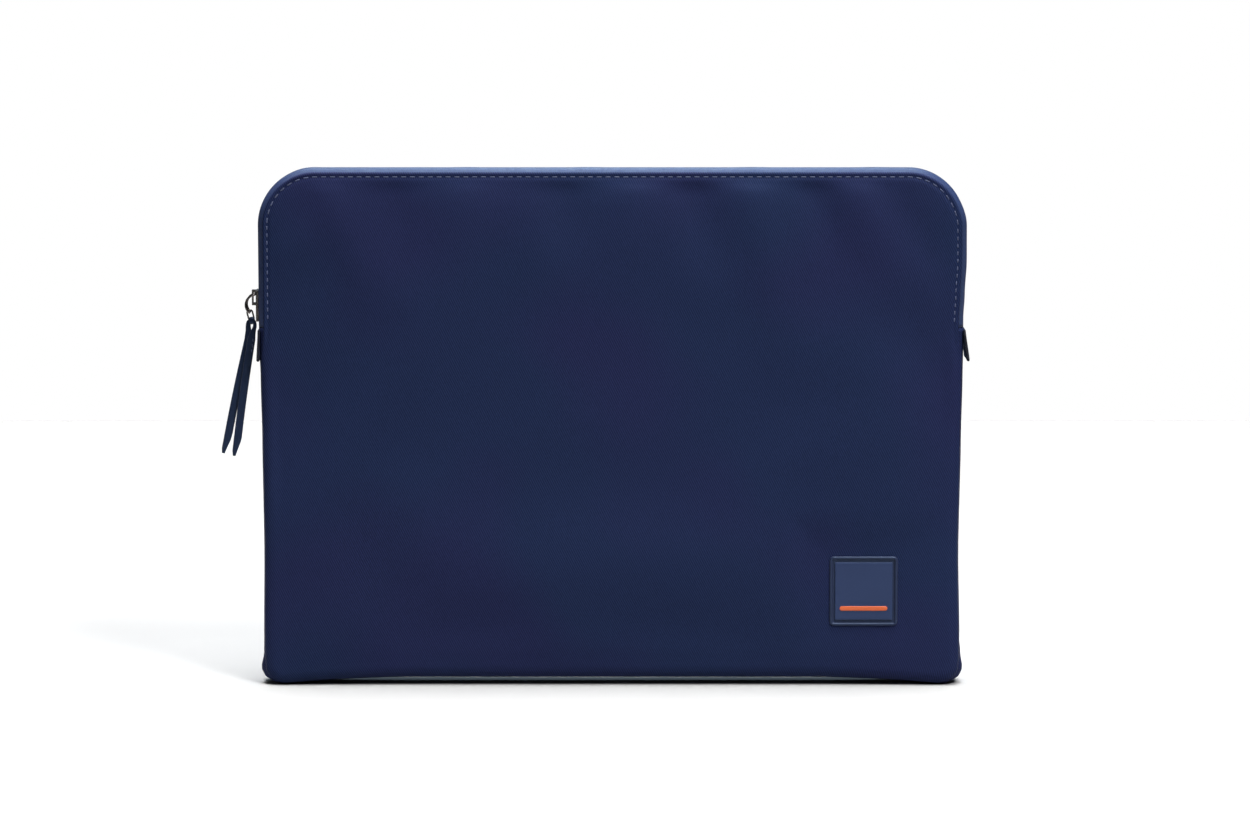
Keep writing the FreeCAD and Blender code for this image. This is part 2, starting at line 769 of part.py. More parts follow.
doc.recompute()
check(doc)
os.makedirs(PARTS_FOLDER, exist_ok=True)
for node in nodes:
    node.Shape.exportStep(os.path.join(PARTS_FOLDER, node.Label + ".step"))
    print(f"{node.Label}: {len(node.Shape.Solids)} solids, {node.Shape.Volume:.1f} mm3")
print(f"{len(nodes)} sub-parts written")
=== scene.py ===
"""Looks of a zipped, padded laptop sleeve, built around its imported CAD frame.

Lengths in the modelling code are millimetres in the CAD frame: x across, y from the front (-) to the
back (+), z up from the floor. `build` turns them into metres.
"""

import math

import bmesh
import bpy
import numpy as np
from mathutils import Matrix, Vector


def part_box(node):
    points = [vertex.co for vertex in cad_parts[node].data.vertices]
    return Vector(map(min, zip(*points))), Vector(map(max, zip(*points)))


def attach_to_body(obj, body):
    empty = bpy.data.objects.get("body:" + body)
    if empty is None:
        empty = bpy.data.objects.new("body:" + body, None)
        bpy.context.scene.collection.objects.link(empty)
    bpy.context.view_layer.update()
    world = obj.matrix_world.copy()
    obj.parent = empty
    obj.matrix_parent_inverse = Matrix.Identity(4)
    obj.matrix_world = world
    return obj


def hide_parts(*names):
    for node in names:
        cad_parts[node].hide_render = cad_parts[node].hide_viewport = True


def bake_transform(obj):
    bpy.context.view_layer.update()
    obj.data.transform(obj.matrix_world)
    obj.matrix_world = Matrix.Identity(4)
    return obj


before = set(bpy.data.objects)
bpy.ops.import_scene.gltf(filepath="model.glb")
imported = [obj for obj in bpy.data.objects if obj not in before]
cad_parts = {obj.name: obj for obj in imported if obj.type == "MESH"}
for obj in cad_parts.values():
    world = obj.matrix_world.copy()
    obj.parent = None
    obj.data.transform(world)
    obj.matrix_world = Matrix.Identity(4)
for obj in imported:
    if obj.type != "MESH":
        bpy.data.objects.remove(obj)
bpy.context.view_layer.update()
MM = 0.001


def node_box(name):
    """Lowest and highest corner of a CAD node in millimetres."""
    low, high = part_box(name)
    return np.array(low) / MM, np.array(high) / MM


TAPE_LOW, TAPE_HIGH = node_box("zip_tape_back")
GUSSET_TOP = node_box("side_gusset")[1][2]
FACE_Y = node_box("back_panel")[1][1]
HALF_WIDTH = TAPE_HIGH[0]
TOP = TAPE_HIGH[2]

PANEL_HALF = HALF_WIDTH - 2.5
PANEL_TOP = TOP - 1.1
PANEL_BOTTOM = 0.8
PANEL_TOP_CORNER = 25.5
PANEL_BOTTOM_CORNER = 7.0
COVER_THICKNESS = 0.8
STITCH_INSET = 2.3
CORNER_TOP = 27.0
CORNER_BOTTOM = 7.0
MIDDLE_HEIGHT = 125.0


# ---------------------------------------------------------------- shaping helpers


def smooth(t):
    """0 to 1 with level ends."""
    t = np.clip(t, 0.0, 1.0)
    return t * t * (3 - 2 * t)


def ease(places, values, t):
    """Soft interpolation through control values."""
    places, values = np.asarray(places, float), np.asarray(values, float)
    t = np.clip(t, places[0], places[-1])
    k = np.clip(np.searchsorted(places, t, side="right") - 1, 0, len(places) - 2)
    share = (t - places[k]) / (places[k + 1] - places[k])
    return values[k] + (values[k + 1] - values[k]) * smooth(share)


# how far each side stands out (+) or pulls in (-) at these heights
SIDE_HEIGHTS = (0, 4, 8, 15.5, 22, 66, 120, 150, 166, 178, 190, 206, 222, 236)
LEFT_SIDE = (-3.0, -0.5, 0.4, -0.9, -1.0, -1.5, -1.1, -0.6, 0.0, 0.0, 0.0, 0.0, 0.0, 0.0)
RIGHT_SIDE = (-2.4, -0.3, 0.5, -0.5, -1.0, -1.9, -1.2, -0.7, -0.5, -0.6, 0.0, 0.8, 0.7, 0.0)
SIDE_FROM = 90.0
SIDE_RUN = 70.0
ARCH_RISE = 3.1
ARCH_HALF = 157.0
ARCH_RUN = 64.0
ARCH_FADE = 70.0


def near_side(x):
    """0 over the middle of the sleeve, 1 at its sides."""
    return smooth((np.abs(x) - SIDE_FROM) / SIDE_RUN)


def drape(points):
    """The slack of the soft body: waisted sides, boxed lower corners and an arched lower edge."""
    out = np.array(points, float)
    x, z = out[:, 0], out[:, 2]
    side = np.where(x < 0, ease(SIDE_HEIGHTS, LEFT_SIDE, z), ease(SIDE_HEIGHTS, RIGHT_SIDE, z))
    out[:, 0] = x + np.sign(x) * side * near_side(x)
    run = np.clip((ARCH_HALF - np.abs(x)) / ARCH_RUN, 0.0, 1.0)
    out[:, 2] = z + ARCH_RISE * run * (2 - run) * (1 - smooth(z / ARCH_FADE))
    return out


def corner_arc(cx, cz, radius, first, last, step):
    """A corner of an outline: points (x, z) and outward normals."""
    count = max(6, int(abs(last - first) * radius / step))
    turn = np.linspace(first, last, count, endpoint=False)
    normal = np.stack([np.cos(turn), np.sin(turn)], 1)
    return np.array([cx, cz]) + radius * normal, normal


def run_between(start, end, normal, step):
    """A straight side of an outline: points (x, z) and outward normals."""
    start, end = np.array(start, float), np.array(end, float)
    count = max(2, int(np.linalg.norm(end - start) / step))
    share = np.linspace(0, 1, count, endpoint=False)[:, None]
    return start + share * (end - start), np.tile(np.array(normal, float), (count, 1))


def leg_path(half, level, corner, leg_end, step, sign):
    """Left leg, top (sign 1) or bottom (sign -1) and right leg of a rounded outline: points (x, z),
    normals and run length."""
    bend = level - sign * corner
    quarter = math.pi * (1 - sign / 2)
    arc_step = step if sign > 0 else step / 3
    parts = [
        run_between((-half, leg_end), (-half, bend), (-1, 0), step),
        corner_arc(-half + corner, bend, corner, math.pi, quarter, arc_step),
        run_between((-half + corner, level), (half - corner, level), (0, sign), step),
        corner_arc(half - corner, bend, corner, quarter, math.pi * (1 - sign), arc_step),
        run_between((half, bend), (half, leg_end), (1, 0), step),
    ]
    return joined(parts, (half, leg_end), (1, 0))


def joined(parts, last_point, last_normal):
    """Sides and corners in one line: points, normals and run length."""
    points = np.vstack([p for p, _ in parts] + [np.array([last_point], float)])
    normals = np.vstack([n for _, n in parts] + [np.array([last_normal], float)])
    return points, normals, run_length(points)


# ---------------------------------------------------------------- mesh helpers


def build(name, points, faces, material, cloth=None):
    """A smooth closed mesh. `cloth` holds each point's place on the flat material, in millimetres."""
    points = np.asarray(points, float)
    mesh = bpy.data.meshes.new(name)
    mesh.from_pydata((points * MM).tolist(), [], faces)
    flat = points[:, [0, 2, 1]] if cloth is None else np.asarray(cloth, float)
    place = mesh.attributes.new("cloth", "FLOAT_VECTOR", "POINT")
    place.data.foreach_set("vector", flat.astype(np.float32).ravel())
    edit = bmesh.new()
    edit.from_mesh(mesh)
    bmesh.ops.recalc_face_normals(edit, faces=edit.faces)
    edit.to_mesh(mesh)
    edit.free()
    mesh.polygons.foreach_set("use_smooth", [True] * len(mesh.polygons))
    obj = bpy.data.objects.new(name, mesh)
    bpy.context.scene.collection.objects.link(obj)
    mesh.materials.append(material)
    return obj


def grid_faces(rows, cols, closed_cols=False, start=0):
    """Four-sided faces between the points of a grid."""
    last = cols if closed_cols else cols - 1
    return [
        (
            start + r * cols + c,
            start + r * cols + (c + 1) % cols,
            start + (r + 1) * cols + (c + 1) % cols,
            start + (r + 1) * cols + c,
        )
        for r in range(rows - 1)
        for c in range(last)
    ]


def tube_faces(rows, cols):
    """Faces of a tube of rings, capped at both ends."""
    faces = grid_faces(rows, cols, closed_cols=True)
    faces.append(tuple(range(cols)))
    faces.append(tuple((rows - 1) * cols + c for c in reversed(range(cols))))
    return faces


def run_length(points):
    """Distance along a line of points."""
    steps = np.linalg.norm(np.diff(points, axis=0), axis=1)
    return np.concatenate([[0.0], np.cumsum(steps)])


def sweep(path, normals, run, section_at):
    """A closed section (y, out) carried along a path, capped at both ends.
    Returns points, faces and the cloth coordinates (run, y, out)."""
    points, cloth = [], []
    for p, n, s in zip(path, normals, run):
        section = section_at(p, n, s)
        place = p + section[:, 1:2] * n
        points.append(np.stack([place[:, 0], section[:, 0], place[:, 1]], 1))
        cloth.append(np.stack([np.full(len(section), s), section[:, 0], section[:, 1]], 1))
    return np.vstack(points), tube_faces(len(points), len(points[0])), np.vstack(cloth)


def spaced(low, high, fine, coarse, margin):
    """Places from low to high, close together near both ends."""
    places = [low]
    while places[-1] < high:
        near = min(places[-1] - low, high - places[-1])
        places.append(places[-1] + fine + (coarse - fine) * smooth(near / margin))
    places = np.array(places)
    return low + (places - low) * (high - low) / (places[-1] - low)


def edge_distance(x, z, half, bottom, top, corner_bottom, corner_top):
    """Distance from points inside a rounded outline to its edge."""
    d = np.minimum(half - np.abs(x), np.minimum(top - z, z - bottom))
    for edge, corner, sign in ((top, corner_top, 1), (bottom, corner_bottom, -1)):
        dx = np.abs(x) - (half - corner)
        dz = sign * (z - edge) + corner
        inside = (dx > 0) & (dz > 0)
        d = np.where(inside, corner - np.hypot(dx, dz), d)
    return np.maximum(d, 0.0)


def outline_half(z, half, bottom, top, corner_bottom, corner_top):
    """Half width of a rounded outline at height z."""
    rise = np.clip(z - (top - corner_top), 0, corner_top)
    drop = np.clip(bottom + corner_bottom - z, 0, corner_bottom)
    return (
        half
        - (corner_top - np.sqrt(np.maximum(corner_top**2 - rise**2, 0)))
        - (corner_bottom - np.sqrt(np.maximum(corner_bottom**2 - drop**2, 0)))
    )


def face_grid(shape, fine, coarse, margin):
    """A grid of points that fills a rounded outline; returns x, z as (rows, cols)."""
    half, bottom, top = shape[:3]
    across = spaced(-half, half, fine, coarse, margin) / half
    up = spaced(bottom, top, fine, coarse, margin)
    widths = outline_half(up, *shape)
    return np.outer(widths, across), np.repeat(up[:, None], len(across), 1)


def grid_normals(p):
    """Unit normals of a grid of points (rows, cols, 3)."""
    n = np.cross(np.gradient(p, axis=1), np.gradient(p, axis=0))
    return n / np.maximum(np.linalg.norm(n, axis=2, keepdims=True), 1e-9)


def slab_mesh(outer, inner):
    """Points and faces of a closed sheet between two grids of the same size."""
    rows, cols = outer.shape[:2]
    count = rows * cols
    faces = grid_faces(rows, cols) + grid_faces(rows, cols, start=count)
    rim = (
        list(range(cols))
        + [r * cols + cols - 1 for r in range(1, rows)]
        + [(rows - 1) * cols + c for c in range(cols - 2, -1, -1)]
        + [r * cols for r in range(rows - 2, 0, -1)]
    )
    faces += [
        (rim[k], rim[(k + 1) % len(rim)], rim[(k + 1) % len(rim)] + count, rim[k] + count)
        for k in range(len(rim))
    ]
    return np.vstack([outer.reshape(-1, 3), inner.reshape(-1, 3)]), faces


# ---------------------------------------------------------------- materials


class Shader:
    """A small helper for node materials."""

    def __init__(self, name):
        self.material = bpy.data.materials.new(name)
        self.material.use_nodes = True
        self.nodes = self.material.node_tree.nodes
        self.links = self.material.node_tree.links
        self.shader = self.nodes["Principled BSDF"]

    def set(self, **values):
        for key, value in values.items():
            socket = self.shader.inputs[key.replace("_", " ")]
            if isinstance(value, bpy.types.NodeSocket):
                self.links.new(value, socket)
            else:
                socket.default_value = value
        return self

    def put(self, socket, value):
        if isinstance(value, bpy.types.NodeSocket):
            self.links.new(value, socket)
        elif value is not None:
            socket.default_value = value

    def math(self, operation, a, b=None, c=None):
        node = self.nodes.new("ShaderNodeMath")
        node.operation = operation
        for socket, value in zip(node.inputs, (a, b, c)):
            self.put(socket, value)
        return node.outputs[0]

    def blend(self, a, share, b):
        """share of a and the rest of b."""
        return self.math("MULTIPLY_ADD", a, share, self.math("MULTIPLY", b, 1 - share))

    def wave(self, angle):
        """A sine between 0 and 1."""
        return self.math("MULTIPLY_ADD", self.math("SINE", angle), 0.5, 0.5)

    def cloth(self):
        """The place on the flat material, in millimetres, and its three parts."""
        node = self.nodes.new("ShaderNodeAttribute")
        node.attribute_name = "cloth"
        split = self.nodes.new("ShaderNodeSeparateXYZ")
        self.links.new(node.outputs["Vector"], split.inputs[0])
        return node.outputs["Vector"], split.outputs

    def solid_place(self):
        """The place in space, in millimetres, for solids that carry no cloth coordinates."""
        node = self.nodes.new("ShaderNodeTexCoord")
        scale = self.nodes.new("ShaderNodeVectorMath")
        scale.operation = "SCALE"
        scale.inputs["Scale"].default_value = 1 / MM
        self.links.new(node.outputs["Object"], scale.inputs[0])
        return scale.outputs[0]

    def noise(self, vector, scale, detail=2.0, roughness=0.5, distortion=0.0):
        node = self.nodes.new("ShaderNodeTexNoise")
        self.links.new(vector, node.inputs["Vector"])
        node.inputs["Scale"].default_value = scale
        node.inputs["Detail"].default_value = detail
        node.inputs["Roughness"].default_value = roughness
        node.inputs["Distortion"].default_value = distortion
        return node.outputs["Fac"]

    def cells(self, vector, scale):
        """Distance to the nearest edge of a cell."""
        node = self.nodes.new("ShaderNodeTexVoronoi")
        node.feature = "DISTANCE_TO_EDGE"
        self.links.new(vector, node.inputs["Vector"])
        node.inputs["Scale"].default_value = scale
        return node.outputs["Distance"]

    def ramp(self, value, low, high, to_low, to_high):
        node = self.nodes.new("ShaderNodeMapRange")
        self.put(node.inputs["Value"], value)
        for key, number in (
            ("From Min", low), ("From Max", high), ("To Min", to_low), ("To Max", to_high),
        ):
            node.inputs[key].default_value = number
        return node.outputs["Result"]

    def mix(self, share, a, b):
        node = self.nodes.new("ShaderNodeMix")
        node.data_type = "RGBA"
        self.put(node.inputs["Factor"], share)
        self.put(node.inputs[6], (*a, 1.0) if isinstance(a, tuple) else a)
        self.put(node.inputs[7], (*b, 1.0) if isinstance(b, tuple) else b)
        return node.outputs[2]

    def bump(self, height, strength, distance_mm):
        node = self.nodes.new("ShaderNodeBump")
        node.inputs["Strength"].default_value = strength
        node.inputs["Distance"].default_value = distance_mm * MM
        self.links.new(height, node.inputs["Height"])
        self.links.new(node.outputs[0], self.shader.inputs["Normal"])


def twill(name, dark, light, drift_dark, drift_light, pitch, lean, roughness):
    """Woven twill: leaning ribs, each cut into short floats by the crossing threads. Its colours
    drift slowly to a second pair over the face."""
    s = Shader(name)
    vector, (u, v, _) = s.cloth()
    rib = s.math("MULTIPLY", s.math("ADD", u, s.math("MULTIPLY", v, lean)), 2 * math.pi / pitch)
    cross = s.math("ADD", s.math("MULTIPLY", v, 4 * math.pi / pitch), s.math("MULTIPLY", rib, 0.5))
    height = s.blend(s.wave(cross), 0.35, s.wave(rib))
    shade = s.blend(s.noise(vector, 0.9, 3.0, 0.6), 0.3, height)
    drift = s.ramp(s.noise(vector, 0.011, 1.0, 0.4), 0.42, 0.62, 0.0, 1.0)
    s.set(
        Base_Color=s.mix(drift, s.mix(shade, dark, light), s.mix(shade, drift_dark, drift_light)),
        Roughness=s.ramp(height, 0, 1, roughness + 0.1, roughness - 0.05),
        Specular_IOR_Level=0.06,
        Specular_Tint=(0.6, 0.75, 1.0, 1),
    )
    s.bump(height, 0.5, 0.05)
    return s.material


def ribbed(name, dark, light, pitch, roughness, sheen, along="u", level=0.02):
    """Grosgrain or zip tape: fine ribs across the ribbon."""
    s = Shader(name)
    vector, (u, v, _) = s.cloth()
    ribs = s.math("SINE", s.math("MULTIPLY", u if along == "u" else v, 2 * math.pi / pitch))
    ends = s.math("SINE", s.math("MULTIPLY", v if along == "u" else u, 3.1 * math.pi / pitch))
    height = s.math("MULTIPLY_ADD", ribs, 0.35, s.math("MULTIPLY_ADD", ends, 0.12, 0.5))
    fuzz = s.noise(vector, 2.2, 3.0, 0.6)
    s.set(
        Base_Color=s.mix(s.blend(fuzz, 0.4, height), dark, light),
        Roughness=s.ramp(fuzz, 0.3, 0.7, roughness - 0.06, roughness + 0.06),
        Sheen_Weight=sheen,
        Sheen_Roughness=0.4,
        Sheen_Tint=(0.35, 0.5, 1.0, 1),
        Specular_IOR_Level=level,
    )
    s.bump(height, 0.9, 0.14)
    return s.material


def brushed_pile(name, dark, light):
    """Short soft pile of the lining."""
    s = Shader(name)
    vector, _ = s.cloth()
    pile = s.noise(vector, 3.5, 4.0, 0.7)
    nap = s.noise(vector, 0.08, 2.0, 0.5, 0.6)
    s.set(
        Base_Color=s.mix(s.blend(nap, 0.5, pile), dark, light),
        Roughness=s.ramp(pile, 0.3, 0.7, 0.85, 0.95),
        Sheen_Weight=0.35,
        Sheen_Roughness=0.5,
    )
    s.bump(pile, 0.5, 0.15)
    return s.material


def foam_material():
    """Open-cell foam."""
    s = Shader("grey_foam")
    vector, _ = s.cloth()
    pores = s.cells(vector, 1.6)
    s.set(
        Base_Color=s.mix(
            s.ramp(pores, 0.0, 0.35, 0.0, 1.0), (0.05, 0.05, 0.055), (0.16, 0.16, 0.17)
        ),
        Roughness=s.ramp(pores, 0.0, 0.4, 0.95, 0.85),
    )
    s.bump(pores, 0.5, 0.2)
    return s.material


def thread_material():
    """Twisted sewing thread."""
    s = Shader("blue_thread")
    u, v = s.cloth()[1][:2]
    pitch, lean = 0.35, 1.4
    twist = s.math("MULTIPLY", s.math("ADD", u, s.math("MULTIPLY", v, lean)), 2 * math.pi / pitch)
    strand = s.wave(twist)
    s.set(
        Base_Color=s.mix(strand, (0.015, 0.023, 0.07), (0.05, 0.07, 0.15)),
        Roughness=s.ramp(strand, 0, 1, 0.6, 0.45),
        Sheen_Weight=0.2,
    )
    s.bump(strand, 0.5, 0.04)
    return s.material


def dark_metal():
    """Polished black-nickel plate with faint casting ripple; its sharp convex edges carry a painted
    highlight, a much lighter colour.
    """
    s = Shader("black_nickel")
    place = s.solid_place()
    ripple = s.noise(place, 0.7, 3.0, 0.55)
    pits = s.noise(place, 6.0, 2.0, 0.6)
    geometry = s.nodes.new("ShaderNodeNewGeometry")
    # painted highlight: sharp convex edges (high pointiness) are coloured much lighter than the plate
    painted_edge_highlight = s.ramp(geometry.outputs["Pointiness"], 0.5, 0.62, 0.0, 1.0)
    body = s.mix(ripple, (0.055, 0.049, 0.046), (0.13, 0.117, 0.111))
    s.set(
        Base_Color=s.mix(painted_edge_highlight, body, (0.36, 0.33, 0.31)),
        Metallic=1.0,
        Roughness=s.ramp(pits, 0.35, 0.65, 0.16, 0.26),
    )
    s.bump(ripple, 0.12, 0.05)
    return s.material


def leather(name, dark, light, raw_edge, roughness):
    """Grained leather; the third part of the cloth coordinates is 1 on its raw cut edges."""
    s = Shader(name)
    place, parts = s.cloth()
    grain = s.cells(place, 1.5)
    fine = s.noise(place, 5.0, 3.0, 0.6)
    height = s.blend(s.ramp(grain, 0.0, 0.22, 0.0, 1.0), 0.7, fine)
    wear = s.noise(place, 0.12, 2.0, 0.5)
    body = s.mix(s.blend(wear, 0.6, height), dark, light)
    s.set(
        Base_Color=s.mix(parts[2], body, raw_edge),
        Roughness=s.ramp(height, 0.0, 1.0, roughness + 0.12, roughness - 0.04),
        Specular_IOR_Level=0.3,
        Specular_Tint=(0.5, 0.7, 1.0, 1),
    )
    s.bump(height, 0.35, 0.06)
    return s.material


def moulded_rubber(name, dark, light, roughness):
    """Matt moulded rubber with a fine grain and faint clouding."""
    s = Shader(name)
    place, _ = s.cloth()
    grain = s.noise(place, 3.0, 4.0, 0.65)
    cloud = s.noise(place, 0.05, 2.0, 0.5)
    s.set(
        Base_Color=s.mix(s.blend(cloud, 0.6, grain), dark, light),
        Roughness=s.ramp(grain, 0.3, 0.7, roughness - 0.05, roughness + 0.07),
        Specular_IOR_Level=0.3,
        Specular_Tint=(0.6, 0.8, 1.0, 1),
    )
    s.bump(grain, 0.25, 0.03)
    return s.material


TWILL = twill(
    "shell_twill", (0.0020, 0.0040, 0.009), (0.0160, 0.0260, 0.080),
    (0.0026, 0.0036, 0.009), (0.0180, 0.0230, 0.080), pitch=1.1, lean=0.5, roughness=0.6,
)
LINING = brushed_pile("lining_pile", (0.03, 0.035, 0.05), (0.09, 0.10, 0.13))
FOAM = foam_material()
TAPE = ribbed(
    "zip_tape_weave", (0.0075, 0.0135, 0.036), (0.028, 0.044, 0.115),
    pitch=0.62, roughness=0.5, sheen=0.0, level=0.12,
)
COIL = ribbed(
    "zip_coil_nylon", (0.004, 0.007, 0.024), (0.012, 0.018, 0.055),
    pitch=0.4, roughness=0.3, sheen=0.0,
)
THREAD = thread_material()
METAL = dark_metal()
STRAP = leather(
    "strap_leather", (0.003, 0.006, 0.017), (0.008, 0.013, 0.036),
    raw_edge=(0.09, 0.10, 0.13), roughness=0.45,
)
GROSGRAIN = ribbed(
    "tab_grosgrain", (0.004, 0.004, 0.006), (0.016, 0.016, 0.020),
    pitch=0.7, roughness=0.6, sheen=0.15, along="v",
)
RUBBER = moulded_rubber("badge_rubber", (0.010, 0.014, 0.036), (0.015, 0.021, 0.052), 0.42)
PLAQUE = moulded_rubber("badge_plaque", (0.013, 0.020, 0.056), (0.019, 0.030, 0.080), 0.55)
ORANGE = moulded_rubber("badge_orange", (0.40, 0.070, 0.018), (0.52, 0.11, 0.035), 0.4)


# ---------------------------------------------------------------- covers, foam and lining

BADGE_LOW, BADGE_HIGH = node_box("badge_frame")
PANEL = (PANEL_HALF, PANEL_BOTTOM, PANEL_TOP, PANEL_BOTTOM_CORNER, PANEL_TOP_CORNER)


HEM_FROM = 156.0
HEM_RUN = 16.0
LIP = 0.9
GROOVE_DEPTH = 0.42
GROOVE_WIDTH = 0.75
HEM_FALL = 0.75
HEM_FALL_RUN = 5.0
TURN_DEPTH = 3.6
TURN_RUN = 6.0


def hem_share(z):
    """1 where the panel's edge is hemmed and topstitched, 0 where it just turns round the side."""
    return smooth((z - HEM_FROM) / HEM_RUN)


def quarter_round(d, run):
    """1 at an edge and 0 from run inwards, along a quarter of an ellipse."""
    return 1 - np.sqrt(np.maximum(1 - np.clip(1 - d / run, 0, 1) ** 2, 0))


def edge_recess(d, z):
    """How far the cover falls back from its face at distance d from its own edge."""
    groove = GROOVE_DEPTH * np.exp(-(((d - STITCH_INSET) / GROOVE_WIDTH) ** 2))
    stitched = LIP * quarter_round(d, LIP) + groove + HEM_FALL * np.exp(-d / HEM_FALL_RUN)
    turned = TURN_DEPTH * quarter_round(d, TURN_RUN)
    hem = hem_share(z)
    return hem * stitched + (1 - hem) * turned


def side_inset(z):
    """How far the panel's edge lies inside the silhouette, up the sides."""
    return ease((0, 8, 15, 22, 154, 172), (2.4, 2.3, 0.9, 0.6, 0.6, 2.5), z)


def spread(points):
    """Carries a panel drawn at its upper width out to its own edge, lower down the sides."""
    out = np.array(points, float)
    x = out[:, 0]
    out[:, 0] = x + np.sign(x) * (HALF_WIDTH - PANEL_HALF - side_inset(out[:, 2])) * near_side(x)
    return out


def seam_depth(z):
    """Distance of the cover's own edge from the sleeve's middle plane."""
    return FACE_Y - edge_recess(0.0, z)


def dimple(x, z, cx, cz, wide, tall, turn):
    """A soft oval hill of height 1."""
    c, s = math.cos(turn), math.sin(turn)
    a = ((x - cx) * c + (z - cz) * s) / wide
    b = (-(x - cx) * s + (z - cz) * c) / tall
    return np.exp(-(a * a + b * b))


SWELL = 2.4
SWELL_RUN = 16.0
FOLD_DEPTH = 1.7
FOLD_CLEAR = 2.5
FOLD_RUN = 7.0
DEEPEST_DIP = -0.9
BADGE_MARGIN = 1.0
BADGE_RUN = 24.0
FRONT_FOLDS = (
    # centre x, centre z, half width, half height, turn, rise
    (-150, 214, 9, 22, -0.9, 0.45),
    (-132, 230, 9, 28, 0.35, 0.55),
    (-104, 236, 11, 26, 0.15, -0.5),
    (-70, 232, 13, 30, -0.06, 0.45),
    (-24, 238, 11, 26, 0.10, -0.55),
    (10, 230, 14, 34, -0.12, 0.75),
    (40, 238, 10, 28, 0.16, -0.75),
    (68, 230, 13, 36, 0.24, 0.95),
    (98, 238, 9, 26, 0.30, -0.8),
    (122, 228, 11, 30, 0.36, 0.7),
    (146, 220, 9, 24, 0.5, -0.45),
    (-146, 134, 20, 46, -0.55, -1.1),
    (-104, 160, 26, 56, -0.60, 0.6),
    (110, 140, 34, 50, 0.55, 0.55),
    (150, 160, 14, 30, 0.4, -0.6),
    (0, 62, 100, 26, 0.0, 0.5),
    (-70, 26, 44, 14, 0.1, -0.35),
    (50, 24, 44, 12, -0.08, -0.35),
)
BACK_FOLDS = tuple((-cx, cz, w, h, -t, -0.7 * r) for cx, cz, w, h, t, r in FRONT_FOLDS)
FACE_SHAPES = ((FRONT_FOLDS, True), (BACK_FOLDS, False))  # folds, and whether a badge sits on them


def badge_reach(x, z):
    """Distance outside the badge, along the face."""
    return np.maximum(
        np.maximum(BADGE_LOW[0] - x, x - BADGE_HIGH[0]),
        np.maximum(BADGE_LOW[2] - z, z - BADGE_HIGH[2]),
    )


def puff(x, z, folds, badge_guard):
    """Outward swell of the padded face, in millimetres. badge_guard keeps it flat under the badge."""
    across = 1 - np.abs(x / PANEL_HALF) ** 3
    up = 1 - np.abs((z - MIDDLE_HEIGHT) / MIDDLE_HEIGHT) ** 3
    d = edge_distance(x, z, *PANEL)
    gathers = sum(rise * dimple(x, z, *place) for *place, rise in folds)
    swell = SWELL * across * up * smooth(d / SWELL_RUN)
    swell = swell + FOLD_DEPTH * gathers * smooth((d - FOLD_CLEAR) / FOLD_RUN)
    if badge_guard:
        swell = swell * smooth((badge_reach(x, z) + BADGE_MARGIN) / BADGE_RUN)
    return np.maximum(swell, DEEPEST_DIP)


SETTLE_STEP = 6.0
SETTLE_FRAMES = 20
SETTLE_CAP = 1.0
FOAM_HOLD = 0.2
SLACK = 0.002


def cloth_modifier(body):
    """Cloth settings of the coarse body: stiff cloth, a little slack, light pressure, no gravity."""
    modifier = body.modifiers.new("settle", "CLOTH")
    cloth = modifier.settings
    cloth.quality = 8
    cloth.mass = 0.1
    cloth.tension_stiffness = cloth.compression_stiffness = 60
    cloth.shear_stiffness = 30
    cloth.bending_stiffness = 60
    cloth.shrink_min = -SLACK
    cloth.vertex_group_mass = "held"
    cloth.pin_stiffness = 1.0
    cloth.use_pressure = True
    cloth.uniform_pressure_force = 4
    cloth.effector_weights.gravity = 0
    modifier.point_cache.frame_start = 1
    modifier.point_cache.frame_end = SETTLE_FRAMES


def settle_cloth():
    """Lets the cover's cloth settle over its padding. A coarse closed body of both faces is held at
    its seams and at the badge, and bedded on soft foam. Returns the outward movement of the front and
    back face as (rows, cols) grids, smoothed and scaled to at most SETTLE_CAP."""
    x, z = face_grid(PANEL, SETTLE_STEP, SETTLE_STEP, 1.0)
    d = edge_distance(x, z, *PANEL)
    front, back = (FACE_Y - edge_recess(d, z) + puff(x, z, *face) for face in FACE_SHAPES)
    points, faces = slab_mesh(np.stack([x, -front, z], 2), np.stack([x, back, z], 2))
    mesh = bpy.data.meshes.new("settling_cloth")
    mesh.from_pydata((points * MM).tolist(), [], faces)
    body = bpy.data.objects.new("settling_cloth", mesh)
    bpy.context.scene.collection.objects.link(body)
    seam = 1 - smooth((d - 5.0) / 9.0)
    badge = 1 - smooth((badge_reach(x, z) - 2.0) / 12.0)
    held = body.vertex_groups.new(name="held")
    weights = np.concatenate([np.maximum(seam, badge).ravel(), seam.ravel()])
    for index, weight in enumerate(np.maximum(weights, FOAM_HOLD)):
        held.add([index], float(weight), "REPLACE")
    cloth_modifier(body)
    for number in range(1, SETTLE_FRAMES + 1):
        bpy.context.scene.frame_set(number)
    settled = body.evaluated_get(bpy.context.evaluated_depsgraph_get())
    after = np.empty(len(points) * 3, np.float32)
    settled.data.vertices.foreach_get("co", after)
    shift = (after.reshape(-1, 3) / MM - points)[:, 1].reshape(2, *x.shape)
    moved = shift * np.array([-1, 1])[:, None, None]
    bpy.data.objects.remove(body)
    bpy.context.scene.frame_set(1)
    for axis in (1, 2, 1, 2):
        before, behind = np.roll(moved, 1, axis), np.roll(moved, -1, axis)
        moved = 0.5 * moved + 0.25 * (before + behind)
    return moved * min(1.0, SETTLE_CAP / np.abs(moved).max())


SETTLED = settle_cloth()


def cubic_weights(t):
    """Weights of four neighbours, a share t of the way from the second to the third."""
    return (
        ((-0.5 * t + 1.0) * t - 0.5) * t,
        (1.5 * t - 2.5) * t * t + 1.0,
        ((-1.5 * t + 2.0) * t + 0.5) * t,
        (0.5 * t - 0.5) * t * t,
    )


